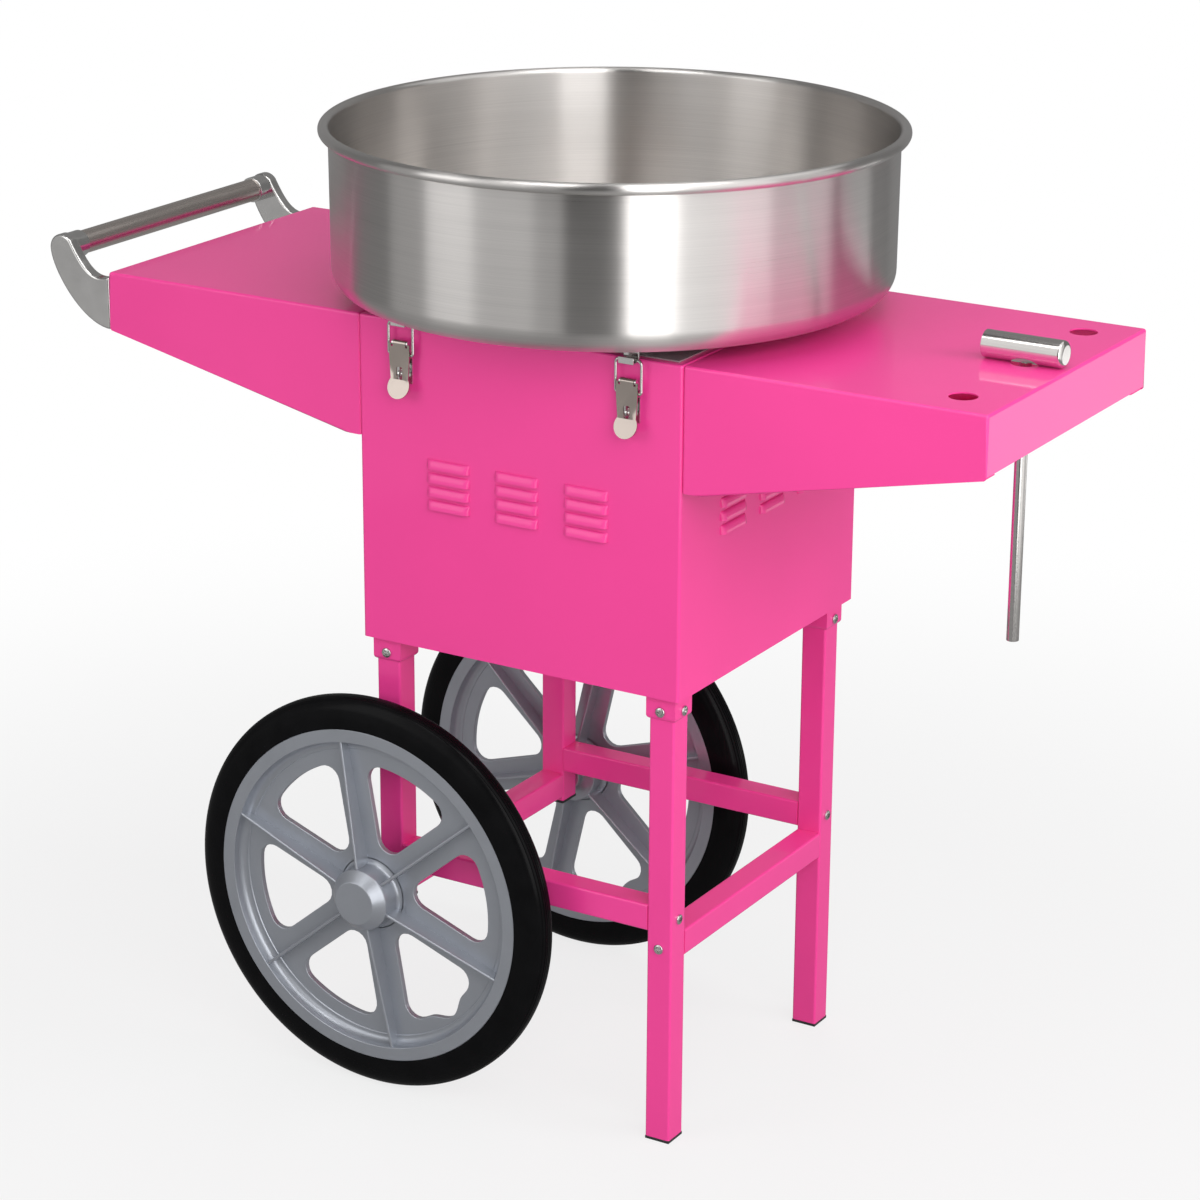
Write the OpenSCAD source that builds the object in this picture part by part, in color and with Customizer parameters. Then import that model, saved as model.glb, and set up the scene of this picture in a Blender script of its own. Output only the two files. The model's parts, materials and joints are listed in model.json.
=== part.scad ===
// Cotton candy cart: a spinning machine in a folded steel cabinet, with a lift-off bowl on top,
// a tray on each side, a tube stand with two feet and two spoked wheels, and a push handle.
// Millimetres, +Z up. Modules draw about the cabinet's centre line; placed() moves that line so
// that the origin lies on the floor under the middle of the whole cart.

/* [Cabinet] */
// Width of the cabinet from side to side
cabinet_w = 330; // [315:1:350]
// Depth of the cabinet from front to back
cabinet_d = 326; // [315:1:350]
// Height of the cabinet's walls
cabinet_h = 302; // [290:1:330]
// Height of the cabinet's bottom edge above the floor
cabinet_z = 433; // [425:1:460]
// Thickness of the pink sheet steel
sheet_t = 1.2; // [0.8:0.1:1.6]
// Outer radius of the folded front corners
fold_r = 3; // [2:0.5:5]
// Width of the flanges folded in along the top and rear edges
flange_w = 16; // [13:1:20]
// Height of the floor pan's upturned edge
pan_h = 15; // [10:1:20]

/* [Louvres] */
// Length of one louvre
louvre_l = 44; // [32:1:52]
// Height of one louvre's hood
louvre_h = 8.5; // [7:0.5:10]
// How far a hood stands out of its wall
louvre_out = 4; // [3:0.5:5]
// Distance from one louvre to the next one below
louvre_pitch = 12.5; // [11:0.5:15]
// Distance from one column of louvres to the next
louvre_column_pitch = 71; // [60:1:80]
// Height of the lowest louvre's lip above the cabinet's bottom edge
louvre_z = 134; // [100:1:140]

/* [Stand] */
// Side of the square leg tube
leg_w = 25; // [22:1:28]
// Wall of the leg and rail tubes
tube_wall = 1.5; // [1.2:0.1:2]
// Distance from the cabinet's side to a leg's outer face
leg_inset = 8.5; // [6:0.5:12]
// Side of the square rail tube
rail_w = 25; // [20:1:25]
// Height of the front and rear rails' middle above the floor
cross_rail_z = 219; // [218:1:250]
// How far a short leg reaches below the axle rail
short_leg_drop = 4; // [2:0.5:8]
// Height of a leg's socket under the cabinet
socket_h = 23; // [20:1:30]
// Wall of a leg socket
socket_wall = 2; // [1.5:0.1:3]
// Radius of a leg socket's lower corners
socket_corner_r = 4; // [2:0.5:5]
// Thickness of a black foot under its leg
foot_h = 3; // [2:0.5:5]
// Length of a plug inside its leg
plug_l = 14; // [10:1:20]

/* [Wheels] */
// Outer radius of the tyre, which is also the height of the axle
tyre_r = 191.5; // [188:0.5:193]
// Width of the tyre
tyre_w = 30; // [27:1:34]
// Radius where the rim ends and the tyre starts
rim_r = 162.5; // [158:0.5:166]
// Width of the rim
rim_w = 29; // [26:1:32]
// Thickness of the spoke web
web_t = 6; // [5:0.5:9]
// Width of one spoke
spoke_w = 33; // [26:1:36]
// Number of spokes
spoke_count = 6; // [6:1:6]
// Radius of the windows' outer edge
window_r = 127; // [122:1:130]
// Corner radius of the windows
window_corner_r = 14; // [10:1:15]
// Thickness of the fin along each spoke
fin_t = 3; // [2:0.5:4]
// How far a fin's edge lies below the hub's end and below the rim's face
fin_drop = 1; // [0.5:0.5:3]
// Radius of the hub's barrel
hub_r = 29; // [27:1:31]
// Radius of the hub's flared root, where the spokes start
hub_root_r = 34; // [32:1:37]
// Length of the hub
hub_l = 45; // [42:1:50]
// Radius of the axle
axle_r = 8; // [7:0.5:9]
// Thickness of the spacer between a leg and its wheel
spacer_t = 6.5; // [4:0.5:10]
// Radius of the hub cap
cap_r = 29.5; // [28.5:0.5:31]
// Length of the hub cap
cap_l = 10.5; // [9:0.5:14]
// Radius of the valve's pocket in one window
pocket_r = 13; // [10:0.5:14]
// Turn of the front wheel's spokes at rest
front_wheel_turn = 40; // [0:1:59]
// Turn of the rear wheel's spokes at rest
rear_wheel_turn = 17; // [0:1:59]

/* [Trays] */
// Length of a tray
tray_l = 281; // [260:1:300]
// How far a tray's front edge lies behind the cabinet's front
tray_inset = 1; // [0.5:0.5:4]
// Height of a tray's skirt at its outer end
tray_outer_h = 55; // [52:1:60]
// Height of a tray's skirt at the cabinet
tray_inner_h = 112; // [100:1:118]
// Length of the level stretch of the skirt's lower edge at the cabinet
tray_level_l = 20; // [10:1:30]
// Radius of the skirt's lower corner at the outer end
tray_outer_corner_r = 3; // [2:0.5:6]
// Radius of the holes in the right tray
tray_hole_r = 12.5; // [11:0.5:14]
// Distance from a hole's middle to the tray's outer end
tray_hole_inset = 42; // [40:1:50]
// Distance from one hole to the next
tray_hole_pitch = 121; // [110:1:130]

/* [Handle] */
// Radius of the handle tube
grip_r = 11; // [10:0.5:12]
// Wall of the handle tube
grip_wall = 1.2; // [1:0.1:2]
// Distance from the tray's end to the handle tube's middle
grip_reach = 54.5; // [50:0.5:65]
// Height of the handle tube's middle above the tray's top
grip_rise = 15; // [10:0.5:20]
// Radius of a bracket's rounded end
bracket_tip_r = 13.5; // [13:0.5:15]
// Height of a bracket's foot on the tray's end
bracket_foot_h = 50; // [46:0.5:51]
// Thickness of a bracket
bracket_t = 12; // [11:0.5:15]
// Length of the boss that holds the tube
bracket_boss_l = 16; // [12:1:20]

/* [Bowl] */
// Radius of the bowl over its rolled rim
bowl_rim_r = 262; // [255:1:270]
// Outer radius of the bowl's wall at the bottom
bowl_base_r = 252; // [246:1:254]
// Height of the bowl
bowl_h = 148.5; // [130:0.5:160]
// Thickness of the bowl's sheet
bowl_t = 1; // [0.8:0.1:1.5]
// Radius of the bowl's bottom corner
bowl_corner_r = 22; // [16:1:30]
// Radius of the rolled rim's bead
bowl_bead_r = 5; // [4:0.5:5.5]
// Thickness of the steel deck under the bowl
deck_t = 1.5; // [1:0.1:2]
// Distance from the cabinet's edges to the deck
deck_inset = 7; // [5:0.5:10]
// Height of the bowl's seat on the deck
seat_h = 9; // [7:0.5:12]
// Outer radius of the bowl's seat
seat_r = 104; // [100:1:110]
// Radius of the spigot that the bowl's hole drops over
spigot_r = 84; // [80:1:86]
// Height of the spigot above its seat
spigot_h = 12; // [8:0.5:13]
// Thickness of the rubber gasket on the seat
gasket_t = 3; // [2:0.5:4]

/* [Latches] */
// Distance from the cabinet's middle to a latch
latch_x = 116; // [105:1:120]
// Distance from the cabinet's top down to a lever's pivot
latch_drop = 19; // [18:0.5:22]
// Distance from a lever's pivot to its bail's pivot
bail_drop = 10; // [9:0.5:11]
// Length of a lever from its pivot to the end of its paddle
lever_l = 50; // [47:1:54]
// Width of a lever
lever_w = 21; // [20:0.5:23]
// Radius of the lever's paddle
paddle_r = 11.2; // [9.5:0.1:11.4]
// Angle that the paddle bends out by
paddle_bend = 20; // [10:1:30]
// Thickness of the latch's steel
latch_t = 1.2; // [1:0.1:1.4]
// Radius of the bail's wire
bail_wire_r = 1.3; // [1.1:0.1:1.4]
// Radius of the bail's bends
bail_bend_r = 4; // [3:0.5:5]
// Width of a catch under the bowl
catch_w = 15; // [12:1:16]
// Half of the room inside a catch's hook
catch_room = 4; // [4:0.1:5]
// Height of a catch's lip above the bail's bar
catch_lip = 3; // [2:0.5:3.5]

/* [Scoop] */
// Length of the sugar scoop's cup
scoop_l = 74; // [60:1:80]
// Outer radius of the scoop's cup
scoop_r = 12; // [11:0.5:14]
// Wall of the scoop's cup
scoop_wall = 1; // [0.8:0.1:1.5]
// Rounding of the cup's closed end
scoop_end_r = 4; // [2:0.5:6]
// Radius of the scoop's rod
scoop_rod_r = 5.5; // [4:0.5:6]
// Length of the scoop's rod below its cup
scoop_rod_l = 248; // [200:1:260]
// Distance from the rod to the cup's mouth, as a share of the cup's length
scoop_rod_share = 0.5; // [0.4:0.05:0.6]

/* [Spinner] */
// Radius of the spinner head
head_r = 70; // [64:1:74]
// Height of the spinner head's bottom above the bowl's bottom
head_lift = 16; // [15:0.5:20]
// Height of the heater band
band_h = 34; // [28:1:40]
// Thickness of the heater band
band_t = 2; // [1.5:0.5:3]
// Number of slots in the heater band
band_slots = 36; // [24:1:48]
// Thickness of the head's dish and of its cap
head_plate_t = 6; // [4:0.5:8]
// Radius of the sugar hole in the spinner's cap
sugar_hole_r = 22; // [18:1:28]
// Radius of the spinner's shaft
shaft_r = 6; // [5:0.5:7]

/* [Drive] */
// Radius of the motor
motor_r = 46; // [40:1:52]
// Height of the motor
motor_h = 95; // [80:1:110]
// Side of the square motor bracket
bracket_plate_w = 120; // [110:1:140]
// Thickness of the motor bracket
bracket_plate_t = 3; // [2:0.5:4]
// Height of a rubber motor mount
mount_h = 22; // [16:1:28]
// Radius of a rubber motor mount
mount_r = 11; // [9:0.5:13]
// Radius of the slip rings
slip_ring_r = 18; // [15:1:22]
// Height of one slip ring
slip_ring_h = 12; // [10:1:14]
// Gap between the two slip rings
slip_ring_gap = 8; // [6:1:10]

/* [Controls] */
// Height of the row of controls above the cabinet's bottom edge
control_z = 205; // [170:1:215]
// Distance between two controls
control_pitch = 60; // [55:1:70]
// Width of a rocker
rocker_w = 14; // [12:0.5:16]
// Radius of a rocker about its pin
rocker_r = 11; // [9:0.5:12]
// Angle of a rocker to each side of its middle
rocker_tilt = 10; // [6:1:12]
// Radius of the heat knob
knob_r = 15; // [12:0.5:18]
// Length of the heat knob
knob_l = 16; // [12:0.5:20]
// Width of the power inlet's socket
inlet_w = 24; // [22:0.5:26]
// Height of the power inlet's socket
inlet_h = 16; // [14:0.5:18]
// Height of the power inlet above the cabinet's bottom edge
inlet_z = 60; // [45:1:90]

/* [Fasteners] */
// Radius of a frame screw's head
frame_head_r = 4.7; // [4:0.1:5.5]
// Height of a frame screw's head
frame_head_h = 2.8; // [2:0.1:3.5]
// Radius of a frame screw's shank
frame_shank_r = 2.5; // [2:0.1:3]
// Radius of a sheet screw's head
sheet_head_r = 3.8; // [3:0.1:4.4]
// Height of a sheet screw's head
sheet_head_h = 2.2; // [1.6:0.1:3]
// Radius of a sheet screw's shank
sheet_shank_r = 1.9; // [1.5:0.1:2.2]

/* [Hidden] */

// Fits and small allowances
cut = 1;
rest_gap = 0.3;
run_fit = 0.05;
slip_fit = 0.2;
hole_fit = 0.15;
smooth = 96;
arc_steps = 6;

// Colours
pink = [0.94, 0.25, 0.55];
steel = [0.72, 0.72, 0.72];
dark_steel = [0.3, 0.3, 0.34];
chrome = [0.85, 0.85, 0.86];
wheel_grey = [0.66, 0.67, 0.7];
black = [0.06, 0.06, 0.06];
copper = [0.75, 0.5, 0.3];

// Heights and places
cabinet_top = cabinet_z + cabinet_h;
front_y = -cabinet_d / 2;
rear_y = cabinet_d / 2;
side_x = cabinet_w / 2;
leg_x = side_x - leg_inset - leg_w / 2;
leg_y = rear_y - leg_inset - leg_w / 2;
axle_z = tyre_r;
tray_d = cabinet_d - 2 * tray_inset;
tray_end_x = side_x + tray_l;
handle_out = grip_reach + bracket_tip_r;
cart_centre_x = -handle_out / 2;

// Louvre hood: an arc that leaves the wall at the top and ends louvre_out away at the lip
louvre_back = (louvre_h * louvre_h - louvre_out * louvre_out) / (2 * louvre_out);
louvre_arc_r = louvre_out + louvre_back;
louvre_columns = [-1, 0, 1];
louvre_rows = [0, 1, 2, 3];

// Stand
socket_w = leg_w + 2 * slip_fit + 2 * socket_wall;
socket_screw_share = 0.63;
socket_screw_z = cabinet_z - socket_h * socket_screw_share;
rail_end_l = 12;
screw_grip_share = 0.75;
short_leg_z = axle_z - rail_w / 2 - short_leg_drop;
cross_rail_l = 2 * leg_x - leg_w;
side_rail_l = 2 * leg_y - leg_w;

// Wheel, drawn with its axle along Z and its outer face up
hub_inner = leg_y + leg_w / 2 + spacer_t + rest_gap;
wheel_y = hub_inner + hub_l / 2;
hub_flare_h = 5;
rim_face_w = 13;
rim_slope_w = 5;
rim_floor_w = 3.5;
web_blend_w = 3;
rim_slope_r = rim_r - rim_face_w;
rim_floor_r = rim_slope_r - rim_slope_w;
rim_floor_in_r = rim_floor_r - rim_floor_w;
web_edge_r = rim_floor_in_r - web_blend_w;
rim_floor_share = 0.18;
rim_floor_z = rim_w * rim_floor_share;
nut_r = 12;
nut_h = 8;
nut_washer_r = 16;
nut_washer_t = 1.5;
nut_pocket_r = 18;
nut_pocket_h = 8;
nut_y = hub_inner + hub_l - nut_pocket_h + rest_gap;
spacer_r = 15;
cap_wall = 2.5;
cap_face_share = 0.695;
cap_chamfer_share = 0.9;
axle_end = 2;
axle_l = 2 * (nut_y + nut_washer_t + nut_h + axle_end);
pocket_window = 4;
pocket_reach_share = 0.35;
pocket_c = window_r - pocket_r * pocket_reach_share;
fin_bury = 2;
tyre_power = 2.6;
tyre_points = 16;

// Tray
tray_hole_x = tray_end_x - tray_hole_inset;
tray_holes = [-1, 0, 1];
tray_screw_share = 0.37;
tray_screw_drop_shares = [0.25, 0.7];
tray_screw_y = tray_d * tray_screw_share;
tray_screw_drops = [for (share = tray_screw_drop_shares) tray_inner_h * share];
tray_screw_l = 8;

// Handle bracket, in distance out from the tray's end and height above the tray's top
grip_fit = 0.1;
boss_wall = 1.4;
boss_r = grip_r + grip_fit + boss_wall;
lower_bend_share = 0.5;
lower_rise_share = 0.42;
upper_in_share = 0.4;
upper_dip_share = 0.16;
upper_out_share = 0.6;
upper_lift_share = 0.25;
tip_leave_angle = 142;
bezier_steps = 10;
bracket_screw_shares = [0.3, 0.75];
bracket_screw_drops = [for (share = bracket_screw_shares) bracket_foot_h * share];

// Bowl and what carries it
seat_z = cabinet_top + deck_t;
spigot_wall = 8;
seat_in_r = spigot_r - spigot_wall;
bowl_z = seat_z + seat_h + gasket_t + rest_gap;
bowl_fit = 0.6;
bowl_hole_r = spigot_r + bowl_fit;
gasket_in_r = bowl_hole_r + bowl_fit;
bowl_bead_z = bowl_h - bowl_bead_r;
bead_overhang = 4;
bowl_top_r = bowl_rim_r - bowl_bead_r - bead_overhang;
shaft_room = 14;
shaft_hole_r = shaft_r + shaft_room;

// Latch, in distance out from the pivot's plane and height above the pivot
wall_gap = 0.8;
latch_z = cabinet_top - latch_drop;
pivot_out = catch_room + latch_t + wall_gap;
pin_r = 1.6;
knuckle_r = 3;
knuckle_share = 0.62;
knuckle_w = lever_w * knuckle_share;
ear_r = 2.6;
ear_t = 1.5;
ear_gap = 0.3;
lever_back = knuckle_r - latch_t;
tab_r = 2.6;
bail_side_gap = 0.9;
bail_half = lever_w / 2 + bail_wire_r + bail_side_gap;
bail_foot_gap = 0.2;
bail_foot_r = bail_half - lever_w / 2 - bail_foot_gap;
bail_bar_z = cabinet_top - latch_z;
neck_share = 0.86;
paddle_z = -(lever_l - paddle_r);
bend_share = 0.55;
bend_z = paddle_z + paddle_r * bend_share;
base_width_share = 0.8;
base_w = lever_w * base_width_share;
base_top = -6.5;
base_bottom_share = 0.74;
base_bottom = -lever_l * base_bottom_share;
staple_share = 0.54;
staple_z = -lever_l * staple_share;
staple_r = 3.2;
staple_hole_r = 1.9;
staple_t = 1.6;
staple_out = 1.5;
staple_room = 1.4;
rivet_r = 2.4;
rivet_h = 0.8;
rivet_shank_r = 1.5;
rivet_shares = [0.28, 0.67];
rivet_drops = [for (share = rivet_shares) -lever_l * share];
rivet_l = 4;
catch_flange = 13;

// Scoop
scoop_x = tray_hole_x;
scoop_axis_z = cabinet_top + rest_gap + scoop_r;
scoop_fit = 0.05;

// Spinner
head_z = bowl_z + head_lift;
hub_bush_r = 14;
hub_bush_h = 20;
head_face_share = 0.9;
band_share = 0.9;
band_r = head_r * band_share;
slot_w = 1.2;
slot_edge = 5;
post_r = 3.5;
post_circle_share = 0.7;
post_circle_r = head_r * post_circle_share;
post_count = 3;
funnel_drop = 2;
shaft_fit = 0.02;
cap_z = head_z + head_plate_t + band_h;

// Drive, hung under the deck
bracket_z = cabinet_top - mount_h - bracket_plate_t;
motor_z = bracket_z - motor_h;
mount_edge = 3;
mount_spacing = bracket_plate_w / 2 - mount_r - mount_edge;
ring_drop = 12;
ring_stack_h = 2 * slip_ring_h + slip_ring_gap;
ring_sleeve_share = 0.66;
ring_sleeve_r = slip_ring_r * ring_sleeve_share;
ring_z = motor_z - ring_drop - ring_stack_h;
shaft_end = 6;
shaft_z = ring_z - shaft_end;
shaft_sink = 2;
shaft_top = head_z + hub_bush_h - shaft_sink;
brush_w = 8;
brush_l = 20;
brush_block_in = 8;
brush_block_l = 18;
brush_block_w = 26;

// Controls, drawn with the panel's outer face at y = 0 and outwards at +y
control_row_z = cabinet_z + control_z;
bezel_t = 2;
bezel_edge = 3.5;
pocket_fit = 0.3;
rocker_pin_r = 1.4;
rocker_depth = 3;
rocker_face = 5.4;
switch_wall = 2;
switch_back = 4;
switch_w = rocker_w + 2 * pocket_fit + 2 * switch_wall;
switch_h = 2 * (rocker_r + pocket_fit + switch_wall);
switch_l = rocker_depth + rocker_r + pocket_fit + switch_back;
pot_r = 13;
pot_l = 18;
bush_r = 4.6;
bush_l = 3;
spindle_r = 3;
spindle_l = 12;
knob_gap = 0.5;
knob_hollow_gap = 1;
knob_hollow_r = bush_r + knob_hollow_gap;
knob_hollow = bush_l + knob_gap;
knob_lip_share = 0.9;
pointer_w = 2;
inlet_x = 90;
inlet_wall = 2;
inlet_flange_t = 3;
inlet_flange_edge = 4;
inlet_ear = 8;
inlet_depth = 17;
inlet_blade = [2, 9, 5];
inlet_blade_pitch = 7;
panel_screw_shares = [0.07, 0.5, 0.93];
panel_screw_l = 8;

// Points of an arc about a centre
function arc_points(centre, r, from, to, steps) =
    [for (i = [0:steps]) let (a = from + (to - from) * i / steps) centre + r * [cos(a), sin(a)]];

// Points of a cubic curve through four control points
function bezier_points(p, steps) =
    [for (i = [0:steps]) let (t = i / steps, s = 1 - t)
        s * s * s * p[0] + 3 * s * s * t * p[1] + 3 * s * t * t * p[2] + t * t * t * p[3]];

function unit(v) = v / norm(v);

// Arc that rounds the corner at b between the points a and c
function fillet(a, b, c, r, steps) =
    let (
        u = unit(a - b),
        v = unit(c - b),
        half = acos(u * v) / 2,
        centre = b + unit(u + v) * r / sin(half),
        p = b + u * r / tan(half) - centre,
        q = b + v * r / tan(half) - centre,
        from = atan2(p[1], p[0]),
        turn = atan2(p[0] * q[1] - p[1] * q[0], p * q)
    ) arc_points(centre, r, from, from + turn, steps);

function reversed(list) = [for (i = [len(list) - 1:-1:0]) list[i]];

module placed() {
    translate([-cart_centre_x, 0, 0]) children();
}

// Cylinder along +Y from y = 0
module rod_y(r, l) {
    rotate([-90, 0, 0]) cylinder(r = r, h = l, $fn = smooth);
}

// Cylinder along X, centred
module rod_x(r, l) {
    rotate([0, 90, 0]) cylinder(r = r, h = l, center = true, $fn = smooth);
}

// Screw with its head's seat at z = 0, the head up and the shank down
module screw(head_r, head_h, shank_r, shank_l) {
    dome = [for (i = [0:arc_steps]) let (a = 90 * i / arc_steps) [head_r * cos(a), head_h * sin(a)]];
    rotate_extrude($fn = smooth)
        polygon(concat([[0, -shank_l], [shank_r, -shank_l], [shank_r, 0]], dome));
}

// Turns a screw's axis from +Z to the outward direction of a wall
module facing_front() {
    rotate([90, 0, 0]) children();
}

module facing_rear() {
    rotate([-90, 0, 0]) children();
}

module facing_right() {
    rotate([0, 90, 0]) children();
}

module facing_left() {
    rotate([0, -90, 0]) children();
}

// Cabinet

// Plan of the front and side walls, set in by an amount, with the rear edge moved back
module wrap_plan(inset, back) {
    half = side_x - inset;
    front = front_y + inset;
    r = fold_r - inset;
    polygon(concat(
        arc_points([-half + r, front + r], r, 180, 270, arc_steps),
        arc_points([half - r, front + r], r, 270, 360, arc_steps),
        [[half, rear_y - sheet_t + back], [-half, rear_y - sheet_t + back]]));
}

// Front view of a louvre's hood, smaller by shrink and reaching drop below its lip
module louvre_outline(shrink, drop) {
    end = louvre_l / 2 - louvre_h;
    r = louvre_h - shrink;
    polygon(concat(
        [[-end - r, -drop], [end + r, -drop]],
        arc_points([end, 0], r, 0, 90, arc_steps),
        arc_points([-end, 0], r, 90, 180, arc_steps)));
}

// One louvre with the wall's outer face at y = 0 and outwards at -y
module louvre(shrink, drop, inside) {
    intersection() {
        translate([0, louvre_back, 0]) rod_x(louvre_arc_r - shrink, louvre_l + 2 * cut);
        rotate([90, 0, 0])
            translate([0, 0, -inside])
                linear_extrude(inside + louvre_out + cut) louvre_outline(shrink, drop);
    }
}

module louvre_field(shrink, drop, inside) {
    for (column = louvre_columns, row = louvre_rows)
        translate([column * louvre_column_pitch, 0, cabinet_z + louvre_z - row * louvre_pitch
                + (len(louvre_rows) - 1) * louvre_pitch])
            louvre(shrink, drop, inside);
}

module on_louvred_walls() {
    translate([0, front_y, 0]) children();
    translate([side_x, 0, 0]) rotate([0, 0, 90]) children();
    translate([-side_x, 0, 0]) rotate([0, 0, -90]) children();
}

module cabinet_wrap() {
    color(pink) difference() {
        union() {
            translate([0, 0, cabinet_z]) linear_extrude(cabinet_h) difference() {
                wrap_plan(0, 0);
                wrap_plan(sheet_t, cut);
            }
            translate([0, 0, cabinet_top - sheet_t]) linear_extrude(sheet_t) difference() {
                wrap_plan(0, 0);
                translate([-side_x + flange_w, front_y + flange_w])
                    square([cabinet_w - 2 * flange_w, cabinet_d]);
            }
            for (side = [-1, 1])
                translate([side * (side_x - flange_w / 2) - flange_w / 2, rear_y - 2 * sheet_t, cabinet_z])
                    cube([flange_w, sheet_t, cabinet_h]);
            on_louvred_walls() louvre_field(0, 0, sheet_t / 2);
        }
        on_louvred_walls() louvre_field(sheet_t, sheet_t / 2, sheet_t + cut);
        for (side = [-1, 1]) latch_places(side, -1) rivet_holes();
        tray_screw_places() facing_right() hole_for(sheet_shank_r);
        mirror([1, 0, 0]) tray_screw_places() facing_right() hole_for(sheet_shank_r);
        panel_screw_places() hole_for(sheet_shank_r);
    }
}

// Clearance hole through a sheet, along Z about z = 0
module hole_for(shank_r) {
    cylinder(r = shank_r + hole_fit, h = 2 * tray_screw_l, center = true, $fn = smooth);
}

module panel_screw_places() {
    for (side = [-1, 1], share = panel_screw_shares)
        translate([side * (side_x - flange_w / 2), rear_y, cabinet_z + cabinet_h * share])
            facing_rear() children();
}

module control_place(slot) {
    translate([slot * control_pitch, rear_y, control_row_z]) children();
}

module rear_panel() {
    color(pink) difference() {
        union() {
            translate([-side_x, rear_y - sheet_t, cabinet_z]) cube([cabinet_w, sheet_t, cabinet_h]);
            translate([-side_x + flange_w + slip_fit, rear_y - flange_w, cabinet_top - sheet_t])
                cube([cabinet_w - 2 * (flange_w + slip_fit), flange_w, sheet_t]);
        }
        panel_screw_places() hole_for(sheet_shank_r);
        for (side = [-1, 1]) latch_places(side, 1) rivet_holes();
        for (slot = [0, 1]) control_place(slot)
            cube([switch_w + 2 * slip_fit, 2 * flange_w, switch_h + 2 * slip_fit], center = true);
        control_place(-1) facing_rear()
            cylinder(r = bush_r + hole_fit, h = 2 * flange_w, center = true, $fn = smooth);
        translate([inlet_x, rear_y, cabinet_z + inlet_z])
            cube([inlet_w + 2 * (inlet_wall + slip_fit), 2 * flange_w,
                inlet_h + 2 * (inlet_wall + slip_fit)], center = true);
    }
}

module deck_plate() {
    color(dark_steel) difference() {
        translate([-side_x + deck_inset, front_y + deck_inset, cabinet_top])
            cube([cabinet_w - 2 * deck_inset, cabinet_d - 2 * deck_inset, deck_t]);
        translate([0, 0, cabinet_top - cut])
            cylinder(r = shaft_hole_r, h = deck_t + 2 * cut, $fn = smooth);
    }
}

module floor_pan() {
    w = cabinet_w - 2 * (sheet_t + slip_fit);
    d = cabinet_d - 3 * sheet_t - 2 * slip_fit;
    color(pink) translate([0, -sheet_t / 2, cabinet_z]) difference() {
        translate([-w / 2, -d / 2, 0]) cube([w, d, pan_h]);
        translate([-w / 2 + sheet_t, -d / 2 + sheet_t, sheet_t])
            cube([w - 2 * sheet_t, d - 2 * sheet_t, pan_h]);
    }
}

// Stand

// Children at each leg, mirrored so that +x and +y point outwards there
module each_leg() {
    for (sx = [-1, 1], sy = [-1, 1])
        mirror([sx < 0 ? 1 : 0, 0, 0]) mirror([0, sy < 0 ? 1 : 0, 0])
            translate([leg_x, leg_y, 0]) children();
}

// Flat strip with rounded lower corners, seen from its face
module socket_face() {
    half = socket_w / 2;
    side = half - socket_corner_r;
    low = -socket_h + socket_corner_r;
    polygon(concat(
        [[-half, 0], [-half, low]],
        arc_points([-side, low], socket_corner_r, 180, 270, arc_steps),
        arc_points([side, low], socket_corner_r, 270, 360, arc_steps),
        [[half, 0]]));
}

module leg_sockets() {
    inner = leg_w + 2 * slip_fit;
    color(pink) each_leg() difference() {
        translate([0, 0, cabinet_z]) intersection() {
            rotate([90, 0, 0]) linear_extrude(socket_w, center = true) socket_face();
            rotate([90, 0, 90]) linear_extrude(socket_w, center = true) socket_face();
        }
        translate([-inner / 2, -inner / 2, cabinet_z - socket_h - cut])
            cube([inner, inner, socket_h + 2 * cut]);
        socket_screw_places() hole_for(frame_shank_r);
    }
}

// Places of the two screws in a leg's socket, at the socket's outer faces
module socket_screw_places() {
    translate([socket_w / 2, 0, socket_screw_z]) facing_right() children();
    translate([0, socket_w / 2, socket_screw_z]) facing_rear() children();
}

// Place of the screw into a front or rear rail, at the leg's outer side face
module cross_screw_place() {
    translate([leg_w / 2, 0, cross_rail_z]) facing_right() children();
}

// Place of the screw into the right rail, at the leg's outer front or rear face
module side_screw_place() {
    translate([0, leg_w / 2, axle_z]) facing_rear() children();
}

module leg(bottom, with_axle) {
    inner = leg_w - 2 * tube_wall;
    color(pink) difference() {
        translate([-leg_w / 2, -leg_w / 2, bottom]) cube([leg_w, leg_w, cabinet_z - bottom]);
        translate([-inner / 2, -inner / 2, bottom - cut])
            cube([inner, inner, cabinet_z - bottom + 2 * cut]);
        socket_screw_places() hole_for(frame_shank_r);
        cross_screw_place() rail_screw_hole();
        if (with_axle) translate([0, 0, axle_z]) rotate([90, 0, 0])
            cylinder(r = axle_r + hole_fit, h = 2 * leg_w, center = true, $fn = smooth);
        else side_screw_place() rail_screw_hole();
    }
}

module rail_screw_hole() {
    cylinder(r = frame_shank_r + hole_fit, h = 4 * leg_w, center = true, $fn = smooth);
}

module front_left_leg() {
    mirror([1, 0, 0]) mirror([0, 1, 0]) translate([leg_x, leg_y, 0]) leg(short_leg_z, true);
}

module rear_left_leg() {
    mirror([1, 0, 0]) translate([leg_x, leg_y, 0]) leg(short_leg_z, true);
}

module front_right_leg() {
    mirror([0, 1, 0]) translate([leg_x, leg_y, 0]) leg(foot_h, false);
}

module rear_right_leg() {
    translate([leg_x, leg_y, 0]) leg(foot_h, false);
}

// Square tube along X with plugged, tapped ends
module plugged_rail(l) {
    inner = rail_w - 2 * tube_wall;
    difference() {
        translate([-l / 2, -rail_w / 2, -rail_w / 2]) cube([l, rail_w, rail_w]);
        translate([-l / 2 + rail_end_l, -inner / 2, -inner / 2])
            cube([l - 2 * rail_end_l, inner, inner]);
        rod_x(frame_shank_r + hole_fit, l + 2 * cut);
    }
}

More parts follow.
